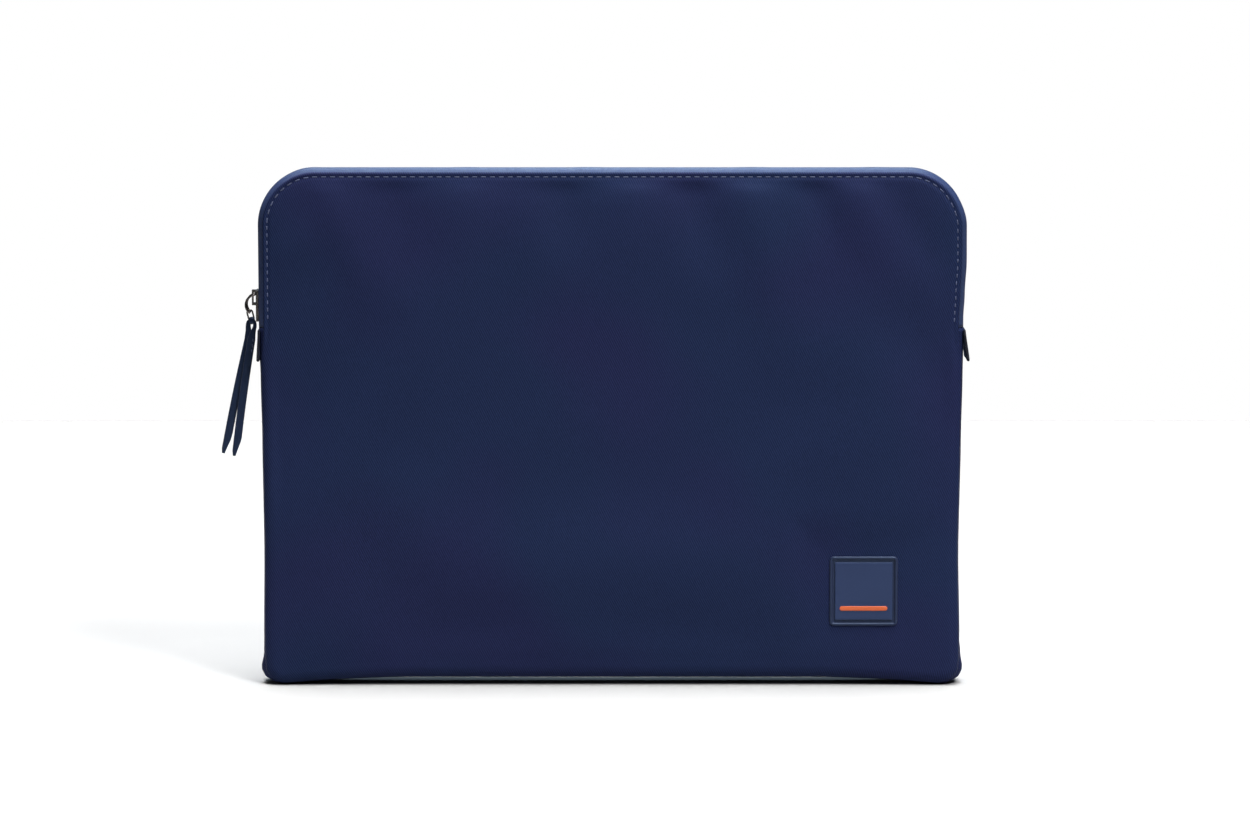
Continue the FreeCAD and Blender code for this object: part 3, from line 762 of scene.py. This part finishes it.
def settled_at(side, x, z):
    """Outward movement of the settled cloth anywhere on a face."""
    margin = 2
    field = np.pad(SETTLED[0 if side < 0 else 1], margin, mode="edge")
    rows, cols = field.shape[0] - 2 * margin, field.shape[1] - 2 * margin
    across = x / np.maximum(outline_half(z, *PANEL), 1.0)
    c = np.clip((across + 1) / 2, 0, 1) * (cols - 1)
    r = np.clip((z - PANEL_BOTTOM) / (PANEL_TOP - PANEL_BOTTOM), 0, 1) * (rows - 1)
    c0, r0 = np.floor(c).astype(int), np.floor(r).astype(int)
    total = np.zeros(x.shape)
    for j, wr in enumerate(cubic_weights(r - r0)):
        for i, wc in enumerate(cubic_weights(c - c0)):
            total += wr * wc * field[r0 + j + 1, c0 + i + 1]
    return total


def cover_grids(side, folds, badge_guard):
    """Outer and inner grid of a cover. side is -1 for the front and 1 for the back."""
    x, z = face_grid(PANEL, 0.45, 2.2, 14.0)
    d = edge_distance(x, z, *PANEL)
    depth = FACE_Y - edge_recess(d, z) + puff(x, z, folds, badge_guard) + settled_at(side, x, z)
    outer = np.stack([x, side * depth, z], 2)
    normals = grid_normals(outer)
    if normals[normals.shape[0] // 2, normals.shape[1] // 2, 1] * side < 0:
        normals = -normals
    inner = outer - COVER_THICKNESS * normals
    return outer, inner


def make_cover(name, side, folds, badge_guard):
    outer, inner = cover_grids(side, folds, badge_guard)
    points, faces = slab_mesh(outer, inner)
    return build(name, drape(spread(points)), faces, TWILL, points[:, [0, 2, 1]])


def make_layer(name, nodes, inset, roundness, material, side):
    """A flat layer inside the sleeve with softly rounded edges, where its CAD solids are. Foam under
    the front (side -1) or back (side 1) cover gives way where the cover dips; a lining has side 0."""
    low = np.min([node_box(n)[0] for n in nodes], axis=0)
    high = np.max([node_box(n)[1] for n in nodes], axis=0)
    shape = (high[0] - inset, low[2] + inset, high[2] - inset, 6.0, 22.0)
    x, z = face_grid(shape, 1.0, 5.0, 12.0)
    d = edge_distance(x, z, *shape)
    middle, half = (low[1] + high[1]) / 2, (high[1] - low[1]) / 2
    thinnest = 0.02
    share = np.sqrt(np.maximum(1 - np.clip(1 - d / roundness, 0, 1) ** 2, thinnest))
    near = np.stack([x, middle - half * share, z], 2)
    far = np.stack([x, middle + half * share, z], 2)
    if side:
        clearance = 0.1
        face = FACE_SHAPES[0 if side < 0 else 1]
        dip = np.minimum(puff(x, z, *face) + settled_at(side, x, z), 0.0) - clearance
        (near if side < 0 else far)[..., 1] += side * dip
    points, faces = slab_mesh(near, far)
    return build(name, drape(points), faces, material)


def across_fold(obj):
    """Bakes a front-half piece's placement into its mesh and leaves it without a parent body."""
    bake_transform(obj)


def attach(piece, side, *nodes):
    """Stands for CAD nodes, which it hides. A front-half piece (side -1) has its placement baked and gets no
    parent body; a back-half piece rides on the shell."""
    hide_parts(*nodes)
    if side < 0:
        across_fold(piece)
    else:
        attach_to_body(piece, "shell")


front_cover = make_cover("front_cover", -1, *FACE_SHAPES[0])
attach(front_cover, -1, "front_panel_lower", "front_panel_upper")
back_cover = make_cover("back_cover", 1, *FACE_SHAPES[1])
attach(back_cover, 1, "back_panel")

for name, side, nodes in (
    ("front_foam", -1, ("front_foam_lower", "front_foam_upper")),
    ("front_lining", -1, ("front_lining_lower", "front_lining_upper")),
    ("back_foam_pad", 1, ("back_foam",)),
    ("back_lining_sheet", 1, ("back_lining",)),
):
    is_foam = "foam" in name
    if is_foam:
        layer = make_layer(name, nodes, 5.5, 2.0, FOAM, side)
    else:
        layer = make_layer(name, nodes, 4.0, 0.4, LINING, 0)
    attach(layer, side, *nodes)


# ---------------------------------------------------------------- zip tape, coil and gusset

TAPE_THICK = 0.6
TAPE_FLAT = 4.7
BAND_TUCK = 0.45


def band_out(y, reach, place, normal):
    """Level of the band across its width. Its long edges fall away and go under the cover's edge."""
    level_inset = PANEL_BOTTOM if normal[1] < 0 else TOP - PANEL_TOP
    drop = side_inset(place[1]) * normal[0] ** 2 + level_inset * normal[1] ** 2 + BAND_TUCK
    return -drop * np.clip((np.abs(y) - TAPE_FLAT) / (reach - TAPE_FLAT), 0, 1) ** 1.7


def closed_section(y, out, thickness):
    """A ribbon's closed section with rounded long edges."""
    outer = np.stack([y, out], 1)
    inner = np.stack([y[::-1], out[::-1] - thickness], 1)
    first = np.array([[y[-1] + np.sign(y[-1] - y[0]) * thickness * 0.25, out[-1] - thickness / 2]])
    last = np.array([[y[0] - np.sign(y[-1] - y[0]) * thickness * 0.25, out[0] - thickness / 2]])
    return np.vstack([outer, first, inner, last])


def tape_section(side):
    """Section of one half of the zip tape: a bead along the coil, and slightly wavy further out."""
    shares = np.array([1.0, 0.9, 0.79, 0.68, 0.57, 0.47, 0.38, 0.29, 0.2, 0.13, 0.09, 0.07])

    def at(place, normal, run):
        reach = seam_depth(place[1]) + BAND_TUCK
        y = side * reach * shares
        bead = 0.1 * smooth((1.6 - np.abs(y)) / 0.8)
        wander = 0.10 * math.sin(run * 0.09) + 0.06 * math.sin(run * 0.23 + 1.0)
        out = band_out(y, reach, place, normal) + bead + wander * smooth(np.abs(y) - 5)
        return closed_section(y, out, TAPE_THICK)

    return at


def gusset_section(shrink, thickness):
    """Section of the band below the zip; shrink sets it that far inside the outer one."""

    def at(place, normal, _run):
        reach = seam_depth(place[1]) + BAND_TUCK
        y = np.linspace(-reach, reach, 25)
        out = band_out(y, reach, place, normal) - shrink
        return closed_section(y * (1 - shrink / 6), out, thickness)

    return at


def make_tape(name, side):
    path, normals, run = leg_path(HALF_WIDTH, TOP, CORNER_TOP, TAPE_LOW[2], 1.5, 1)
    points, faces, cloth = sweep(path, normals, run, tape_section(side))
    return build(name, drape(points), faces, TAPE, cloth)


def bent_wire(path_points, radius, sides):
    """A closed tube round a line of points, its ends drawn in. Returns points and faces."""
    line = np.asarray(path_points, float)
    tangent = np.gradient(line, axis=0)
    tangent /= np.linalg.norm(tangent, axis=1, keepdims=True)
    guide = np.array([0.31, 0.87, 0.38])
    first = np.cross(tangent, guide)
    first /= np.linalg.norm(first, axis=1, keepdims=True)
    second = np.cross(tangent, first)
    turn = np.arange(sides) * 2 * math.pi / sides
    shares = np.ones(len(line))
    shares[[0, -1]] = 0.45
    rings = [
        p + radius * k * (np.cos(turn)[:, None] * a + np.sin(turn)[:, None] * b)
        for p, a, b, k in zip(line, first, second, shares)
    ]
    return np.vstack(rings), tube_faces(len(line), sides)


def gather(pieces):
    """Joins several (points, faces) into one."""
    points, faces, base = [], [], 0
    for p, f in pieces:
        points.append(p)
        faces += [tuple(base + k for k in face) for face in f]
        base += len(p)
    return np.vstack(points), faces


def resample(path, normals, run, places):
    """Points and normals of a line at given run lengths."""
    x = np.interp(places, run, path[:, 0])
    z = np.interp(places, run, path[:, 1])
    n = np.stack([np.interp(places, run, normals[:, 0]), np.interp(places, run, normals[:, 1])], 1)
    return np.stack([x, z], 1), n / np.linalg.norm(n, axis=1, keepdims=True)


COIL_PITCH = 1.25
COIL_SIT = 1.0
COIL_WIRE = 0.23
COIL_END = 0.4
SLIDER_TRAVEL = 32.0
OPEN_TIP = 0.72
LOCKED_TIP = -0.35


def make_coil(name, side, phase):
    """Nylon coil: one rounded tooth after another along the tape's inner edge. The teeth of the two
    halves lock into one another, except along the slider's run, where its web passes between."""
    slider_run_top = node_box("slider_body")[1][2] + SLIDER_TRAVEL
    low = TAPE_LOW[2] + COIL_SIT
    half, top, corner = HALF_WIDTH - COIL_SIT, TOP - COIL_SIT, CORNER_TOP - COIL_SIT
    path, normals, run = leg_path(half, top, corner, low, 1.5, 1)
    places = np.arange(phase * COIL_PITCH + COIL_END, run[-1] - COIL_END, COIL_PITCH)
    centres, outward = resample(path, normals, run, places)
    teeth = []
    for (x, z), (nx, nz) in zip(centres, outward):
        along = np.array([nz, -nx])
        tip = OPEN_TIP if x < 0 and z < slider_run_top else LOCKED_TIP
        line = [
            # across the tape, out from it, along it
            (2.6, -0.30, -0.20),
            (1.5, 0.20, -0.14),
            (tip + 0.08, 0.34, 0.0),
            (tip, 0.05, 0.10),
            (1.3, -0.25, 0.16),
            (2.4, -0.50, 0.20),
        ]
        tooth = []
        for y, out, shift in line:
            px = x + nx * out + along[0] * shift
            pz = z + nz * out + along[1] * shift
            tooth.append((px, side * y, pz))
        teeth.append(bent_wire(tooth, COIL_WIRE, 6))
    points, faces = gather(teeth)
    return build(name, drape(points), faces, COIL, points[:, [0, 2, 1]])


attach(make_tape("zip_tape_front_half", -1), -1, "zip_tape_front", "zip_tape_front_ends")
attach(make_tape("zip_tape_back_half", 1), 1, "zip_tape_back")
attach(make_coil("zip_coil_front_half", -1, 0.0), -1, "zip_coil_front", "zip_coil_front_ends")
attach(make_coil("zip_coil_back_half", 1, 0.5), 1, "zip_coil_back")

for name, shrink, thickness, material, slot, node in (
    ("side_band", 0.0, 0.8, TWILL, "twill", "side_gusset"),
    ("side_band_lining", 1.2, 0.5, LINING, "lining", "gusset_lining"),
):
    path, normals, run = leg_path(HALF_WIDTH, 0.0, CORNER_BOTTOM, GUSSET_TOP, 2.0, -1)
    points, faces, cloth = sweep(path, normals, run, gusset_section(shrink, thickness))
    band = build(name, drape(points), faces, material, cloth)
    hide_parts(node)
    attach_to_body(band, "shell")


# ---------------------------------------------------------------- topstitching

STITCH_RADIUS = 0.27
STITCH_RISE = 0.12
STITCH_SINK = 0.35
STITCH_LOW = 178.0
FIRST_STITCH = 1.4
LEG_PITCH, LEG_STITCH = 3.57, 2.0
TOP_PITCH, TOP_STITCH = 4.24, 2.9


def make_stitches(name, side):
    """Topstitching round the hem: threads that rise from the cloth and dive again."""
    half, top = PANEL_HALF - STITCH_INSET, PANEL_TOP - STITCH_INSET
    corner = PANEL_TOP_CORNER - STITCH_INSET
    path, normals, run = leg_path(half, top, corner, STITCH_LOW, 1.0, 1)
    leg = top - corner - STITCH_LOW
    places, at = [], 0.0
    while at < run[-1] - 1.0:
        places.append(at + FIRST_STITCH)
        at += LEG_PITCH if at < leg or at > run[-1] - leg else TOP_PITCH
    centres, outward = resample(path, normals, run, np.array(places))
    share = np.linspace(-1, 1, 7)
    rise = -STITCH_SINK + (STITCH_SINK + STITCH_RISE) * (1 - share**4)
    stitches = []
    for (x, z), (nx, nz), at in zip(centres, outward, places):
        length = LEG_STITCH if at < leg or at > run[-1] - leg else TOP_STITCH
        shift = share * length / 2
        px, pz = x + nz * shift, z - nx * shift
        base = FACE_Y - edge_recess(edge_distance(px, pz, *PANEL), pz) + puff(px, pz, (), False)
        stitches.append(bent_wire(np.stack([px, side * (base + rise), pz], 1), STITCH_RADIUS, 6))
    points, faces = gather(stitches)
    return build(name, drape(points), faces, THREAD, points[:, [0, 2, 1]])


attach(make_stitches("front_topstitching", -1), -1, "topstitch_front_lower", "topstitch_front_upper")
attach(make_stitches("back_topstitching", 1), 1, "topstitch_back")


# ---------------------------------------------------------------- badge


def rounded_loop(centre, half_w, half_h, corner, per_corner=8, per_side=6):
    """Points (x, z) once round a rounded rectangle, the same count whatever its size."""
    points = []
    turns = ((1, 1, 0.0), (-1, 1, 0.5), (-1, -1, 1.0), (1, -1, 1.5))
    for sx, sz, first in turns:
        for angle in np.linspace(first * math.pi, (first + 0.5) * math.pi, per_corner):
            x = sx * (half_w - corner) + corner * math.cos(angle)
            z = sz * (half_h - corner) + corner * math.sin(angle)
            points.append((centre[0] + x, centre[1] + z))
    out = []
    for k, point in enumerate(points):
        out.append(point)
        if k % per_corner == per_corner - 1:
            after = points[(k + 1) % len(points)]
            for share in np.linspace(0, 1, per_side + 2)[1:-1]:
                out.append(tuple(np.array(point) * (1 - share) + np.array(after) * share))
    return np.array(out)


def terrace(name, centre, half_w, half_h, corner, steps, material):
    """A closed moulding built up from rings, each an inset and a height above the cloth."""
    rings = []
    for inset, rise in steps:
        loop = rounded_loop(centre, half_w - inset, half_h - inset, max(corner - inset, 0.12))
        rings.append(np.stack([loop[:, 0], np.full(len(loop), -FACE_Y - rise), loop[:, 1]], 1))
    return build(name, np.vstack(rings), tube_faces(len(rings), len(rings[0])), material)


def box_centre(node):
    """Centre (x, z), half width and half height of a node seen from the front."""
    low, high = node_box(node)
    middle, half = (low + high) / 2, (high - low) / 2
    return (middle[0], middle[2]), half[0], half[2]


# inset and height above the cloth of each ring
RIM_STEPS = (
    (0.0, -0.5), (0.0, 0.2), (0.08, 0.5), (0.28, 0.8), (0.6, 0.98), (0.95, 1.0), (1.25, 0.85),
    (1.45, 0.55), (1.52, 0.2), (1.65, 0.12), (2.6, 0.10), (4.0, 0.10),
)
PLAQUE_STEPS = ((0.3, 0.02), (0.3, 0.55), (0.37, 0.72), (0.55, 0.84), (0.9, 0.88), (1.7, 0.89))
BAR_STEPS = ((0.0, 0.8), (0.0, 0.98), (0.08, 1.1), (0.3, 1.18), (0.6, 1.2), (0.9, 1.2))

for name, node, corner, steps, material, slot in (
    ("badge_rim", "badge_frame", 2.2, RIM_STEPS, RUBBER, "badge_rubber"),
    ("badge_face", "badge_plaque", 0.9, PLAQUE_STEPS, PLAQUE, "badge_plaque"),
    ("badge_stripe", "badge_bar", 1.08, BAR_STEPS, ORANGE, "badge_orange"),
):
    centre, half_w, half_h = box_centre(node)
    moulding = terrace(name, centre, half_w, half_h, corner, steps, material)
    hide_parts(node)
    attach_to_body(moulding, "shell")


# ---------------------------------------------------------------- slider, loop, link, pull and tabs

for node in ("slider_body", "slider_bridge", "pull_loop", "link_ring", "left_zip_stop", "right_zip_stop"):
    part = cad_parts[node]
    part.data.materials.clear()
    part.data.materials.append(METAL)
for node, width in (("slider_body", 0.35), ("slider_bridge", 0.2)):
    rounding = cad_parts[node].modifiers.new("rounded_edges", "BEVEL")
    rounding.width = width * MM
    rounding.segments = 3
    rounding.limit_method = "ANGLE"


def through(points, count):
    """A smooth line through points of any dimension, evenly shared out between them."""
    points = np.asarray(points, float)
    knots = run_length(points[:, :2])
    padded = np.vstack([2 * points[0] - points[1], points, 2 * points[-1] - points[-2]])
    out = []
    for at in np.linspace(0, knots[-1], count):
        k = min(int(np.searchsorted(knots, at, side="right")) - 1, len(points) - 2)
        t = (at - knots[k]) / (knots[k + 1] - knots[k])
        a, b, c, d = padded[k : k + 4]
        out.append(
            0.5 * (2 * b + (c - a) * t + (2 * a - 5 * b + 4 * c - d) * t**2 + (3 * b - 3 * c + d - a) * t**3)
        )
    return np.array(out)


def strip(line, thickness, sides=16):
    """A leather strip. Each row of line is (x, z, y, left half, right half), its edges squared off."""
    line = np.asarray(line, float)
    heading = np.gradient(line[:, :2], axis=0)
    heading /= np.linalg.norm(heading, axis=1, keepdims=True)
    across = np.stack([-heading[:, 1], heading[:, 0]], 1)
    run = run_length(line[:, :2])
    turn = (np.arange(sides) + 0.5) * 2 * math.pi / sides
    c = np.sign(np.cos(turn)) * np.abs(np.cos(turn)) ** 0.3
    s = np.sign(np.sin(turn)) * np.abs(np.sin(turn)) ** 0.45
    points, cloth = [], []
    for k, (x, z, y, left, right) in enumerate(line):
        half = np.where(c > 0, left, right)
        end = 0.75 if k in (0, len(line) - 1) else 1.0
        offset = c * half * end
        px, pz = x + across[k, 0] * offset, z + across[k, 1] * offset
        points.append(np.stack([px, y + s * thickness / 2 * end, pz], 1))
        raw = smooth((np.abs(c) - 0.93) / 0.05)
        cloth.append(np.stack([offset, np.full(sides, run[k]), raw], 1))
    return np.vstack(points), tube_faces(len(line), sides), np.vstack(cloth)


def knot(centre, lean, outside, inside, length, around=28, sides=12):
    """The leather turn that wraps the link's lower wire: a rounded sleeve about that wire."""
    axis = np.array([math.cos(lean), 0, math.sin(lean)])
    up = np.array([-math.sin(lean), 0, math.cos(lean)])
    depth = np.array([0.0, 1.0, 0.0])
    turn = np.arange(sides) * 2 * math.pi / sides
    c = np.sign(np.cos(turn)) * np.abs(np.cos(turn)) ** 0.5
    s = np.sign(np.sin(turn)) * np.abs(np.sin(turn)) ** 0.5
    middle, half = (outside + inside) / 2, (outside - inside) / 2
    rings, cloth = [], []
    for angle in np.arange(around) * 2 * math.pi / around:
        radial = math.cos(angle) * up + math.sin(angle) * depth
        stretch = 1.0 + 0.22 * max(0.0, -math.cos(angle))
        out = np.outer((middle + half * c) * stretch, radial)
        rings.append(np.array(centre) + out + np.outer(s * length / 2, axis))
        cloth.append(np.stack([s * length / 2, np.full(sides, angle * middle), np.zeros(sides)], 1))
    faces = grid_faces(around, sides, closed_cols=True)
    faces += [
        ((around - 1) * sides + k, (around - 1) * sides + (k + 1) % sides, (k + 1) % sides, k)
        for k in range(sides)
    ]
    return np.vstack(rings), faces, np.vstack(cloth)


PULL_WIDTH = 3.8
PULL_THICK = 1.45
PULL_LEAN = math.radians(14.0)
TAIL_BOW = 0.35
TAIL_SLANT = 8.0
SLANT_SHARE = 0.54
SEAM_DROPS = (9.6, 12.2, 14.8)

# x, z and half width along each branch that leaves the knot, from the eye's own place
FRONT_BRANCH = ((0.3, 0.5, 0.8), (1.2, -1.0, 0.85), (1.4, -2.8, 0.9), (0.85, -4.7, 1.1), (0.2, -6.8, 1.5))
BACK_BRANCH = ((-0.7, 0.3, 0.8), (-1.7, -1.2, 1.1), (-1.95, -3.0, 1.2), (-1.85, -5.2, 1.4), (-1.9, -7.4, 1.7))


def tail(eye, y, branch, start, end):
    """One end of the pull: the branch that leaves the knot, then a straight tail with a slanting tip
    from start to end, both measured from the eye."""
    ex, ez = eye
    rows = [(ex + x, ez + z, y, half, half) for x, z, half in branch]
    start, end = np.array(start, float), np.array(end, float)
    length = np.linalg.norm(end - start)
    for at in np.linspace(0, length, 26):
        share = at / length
        bow = TAIL_BOW * math.sin(math.pi * share)
        x, z = start + (end - start) * share
        cut = max(0.0, (at - length + TAIL_SLANT) / TAIL_SLANT)
        left = PULL_WIDTH / 2 - cut * PULL_WIDTH * SLANT_SHARE
        rows.append((ex + x - bow, ez + z, y, left, PULL_WIDTH / 2))
    curve = through(rows[: len(branch) + 1], 26)
    return np.vstack([curve[:-1], rows[len(branch) :]])


def make_pull():
    """The leather pull: a strip knotted through the link, with an open eye and two long tails."""
    low = node_box("link_ring")[0]
    eye = (low[0] + 2.73, low[2] + 0.53)
    front = tail(eye, -0.95, FRONT_BRANCH, (-0.3, -9.2), (-8.5, -65.9))
    back = tail(eye, 0.95, BACK_BRANCH, (-1.9, -9.2), (-13.9, -64.9))
    turn = knot((eye[0], 0.0, eye[1]), PULL_LEAN, 1.62, 0.62, 2.7)
    parts = [strip(front, PULL_THICK), strip(back, PULL_THICK), turn]
    points, faces = gather([part[:2] for part in parts])
    pull = build("pull_leather", points, faces, STRAP, np.vstack([part[2] for part in parts]))
    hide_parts("pull_strap")
    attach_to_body(pull, "pull")
    threads = []
    for drop in SEAM_DROPS:
        x, z = eye[0] + 0.55 - 0.15 * (drop - SEAM_DROPS[0]), eye[1] - drop
        share = np.linspace(-1, 1, 7)
        line = [(x - 0.1 * k, -1.67 - 0.12 * (1 - k**4) + 0.1 * k**4, z + 0.75 * k) for k in share]
        threads.append(bent_wire(line, 0.2, 6))
    points, faces = gather(threads)
    seam = build("pull_seam", points, faces, THREAD, points[:, [0, 2, 1]])
    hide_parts("pull_stitches")
    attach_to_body(seam, "pull")


TAB_THICK = 1.6
TAB_LENGTH = 15.0


def make_tab(node, body, outward, lean, hang_x):
    """A folded grosgrain tab: two plies, a rounded fold at the bottom and the slit between the plies."""
    low, high = node_box(node)
    top, half = high[2], (high[1] - low[1]) / 2
    radius = TAB_THICK / 2
    bend = -(TAB_LENGTH - radius)
    outer = [(TAB_THICK, z) for z in np.linspace(0, bend, 12)[:-1]]
    turn = np.linspace(0, -math.pi, 13)
    fold = [(radius + radius * math.cos(a), bend + radius * math.sin(a)) for a in turn]
    inner = [(0.0, z) for z in np.linspace(bend, 0, 12)[1:]]
    slit = [(0.74, 0.0), (0.76, -6.0), (0.77, bend), (0.83, bend), (0.84, -6.0), (0.86, 0.0)]
    profile = np.array(outer + fold + inner + slit)
    profile[:, 0] *= 0.6 + 0.35 * smooth(-profile[:, 1] / TAB_LENGTH)
    run = run_length(profile)
    c, s = math.cos(lean), math.sin(lean)
    rings, cloth = [], []
    for share in np.linspace(-1, 1, 19):
        bow = 0.12 * (1 - share * share) * (-profile[:, 1] / TAB_LENGTH)
        x = outward * (profile[:, 0] * c - profile[:, 1] * s + bow) + hang_x
        y = np.full(len(profile), share * half)
        rings.append(np.stack([x, y, top + profile[:, 1] * c], 1))
        cloth.append(np.stack([run, y, profile[:, 0]], 1))
    faces = tube_faces(len(rings), len(profile))
    tab = build(node + "_ribbon", np.vstack(rings), faces, GROSGRAIN, np.vstack(cloth))
    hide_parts(node)
    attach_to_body(tab, body)


make_pull()
make_tab("left_end_tab", "left_tab", -1, math.radians(0.5), -(HALF_WIDTH - 0.6))
make_tab("right_end_tab", "right_tab", 1, math.radians(6.0), HALF_WIDTH - 0.65)


# ---------------------------------------------------------------- camera, floor and lights


def area_light(name, place, target, size, size_y, power, spread=180.0, colour=(1, 1, 1)):
    """A softbox; spread is the cone its honeycomb lets through, in degrees."""
    data = bpy.data.lights.new(name, "AREA")
    data.spread = math.radians(spread)
    data.shape = "RECTANGLE"
    data.size, data.size_y = size, size_y
    data.energy = power
    data.color = colour
    light = bpy.data.objects.new(name, data)
    light.location = place
    light.rotation_euler = (Vector(target) - Vector(place)).to_track_quat("-Z", "Y").to_euler()
    bpy.context.scene.collection.objects.link(light)


def make_floor():
    """A plain pale floor, in metres."""
    side, near, far = 0.55, -0.75, 0.95
    corners = [(-side, near, 0), (side, near, 0), (side, far, 0), (-side, far, 0)]
    mesh = bpy.data.meshes.new("floor")
    mesh.from_pydata(corners, [], [(0, 1, 2, 3)])
    floor = bpy.data.objects.new("floor", mesh)
    bpy.context.scene.collection.objects.link(floor)
    s = Shader("pale_floor")
    grain = s.noise(s.solid_place(), 0.02, 3.0, 0.5)
    shade = s.mix(grain, (0.315, 0.315, 0.315), (0.335, 0.335, 0.335))
    s.set(Base_Color=shade, Roughness=0.7, Specular_IOR_Level=0.1)
    mesh.materials.append(s.material)


def make_world():
    """A dim room for the light, and a white backdrop where the camera looks past the floor."""
    world = bpy.data.worlds.new("studio")
    bpy.context.scene.world = world
    world.use_nodes = True
    nodes, links = world.node_tree.nodes, world.node_tree.links
    nodes.clear()
    output = nodes.new("ShaderNodeOutputWorld")
    mix = nodes.new("ShaderNodeMixShader")
    path_kind = nodes.new("ShaderNodeLightPath")
    room, backdrop = nodes.new("ShaderNodeBackground"), nodes.new("ShaderNodeBackground")
    room.inputs["Color"].default_value = (0.95, 0.97, 1.0, 1)
    room.inputs["Strength"].default_value = 0.04
    backdrop.inputs["Color"].default_value = (1, 1, 1, 1)
    backdrop.inputs["Strength"].default_value = 1.0
    links.new(path_kind.outputs["Is Camera Ray"], mix.inputs[0])
    links.new(room.outputs[0], mix.inputs[1])
    links.new(backdrop.outputs[0], mix.inputs[2])
    links.new(mix.outputs[0], output.inputs[0])


def make_camera():
    """A long lens that looks square at the front from slightly above."""
    distance, elevation, lens = 2.2, math.radians(7.6), 131.25
    target = Vector((0.0064, 0.0, 0.1296))
    back = Vector((0, -math.cos(elevation), math.sin(elevation)))
    data = bpy.data.cameras.new("camera")
    data.lens, data.sensor_width = lens, 36.0
    data.clip_end = 50
    camera = bpy.data.objects.new("camera", data)
    camera.location = target + distance * back
    camera.rotation_euler = (-back).to_track_quat("-Z", "Y").to_euler()
    bpy.context.scene.collection.objects.link(camera)
    bpy.context.scene.camera = camera


make_floor()
make_world()
make_camera()
area_light("top_softbox", (0.0, 0.1, 1.5), (0.0, 0.1, 0), 3.2, 3.2, 91, 50.0)
area_light("back_strip", (0.0, 1.25, 0.85), (0, 0.0, 0.25), 0.45, 0.3, 0.8, 60.0, (0.6, 0.8, 1.0))
area_light("front_softbox", (0.85, -1.15, 1.8), (0, 0, 0.2), 0.55, 0.55, 62)
bpy.context.scene.view_settings.view_transform = "Standard"
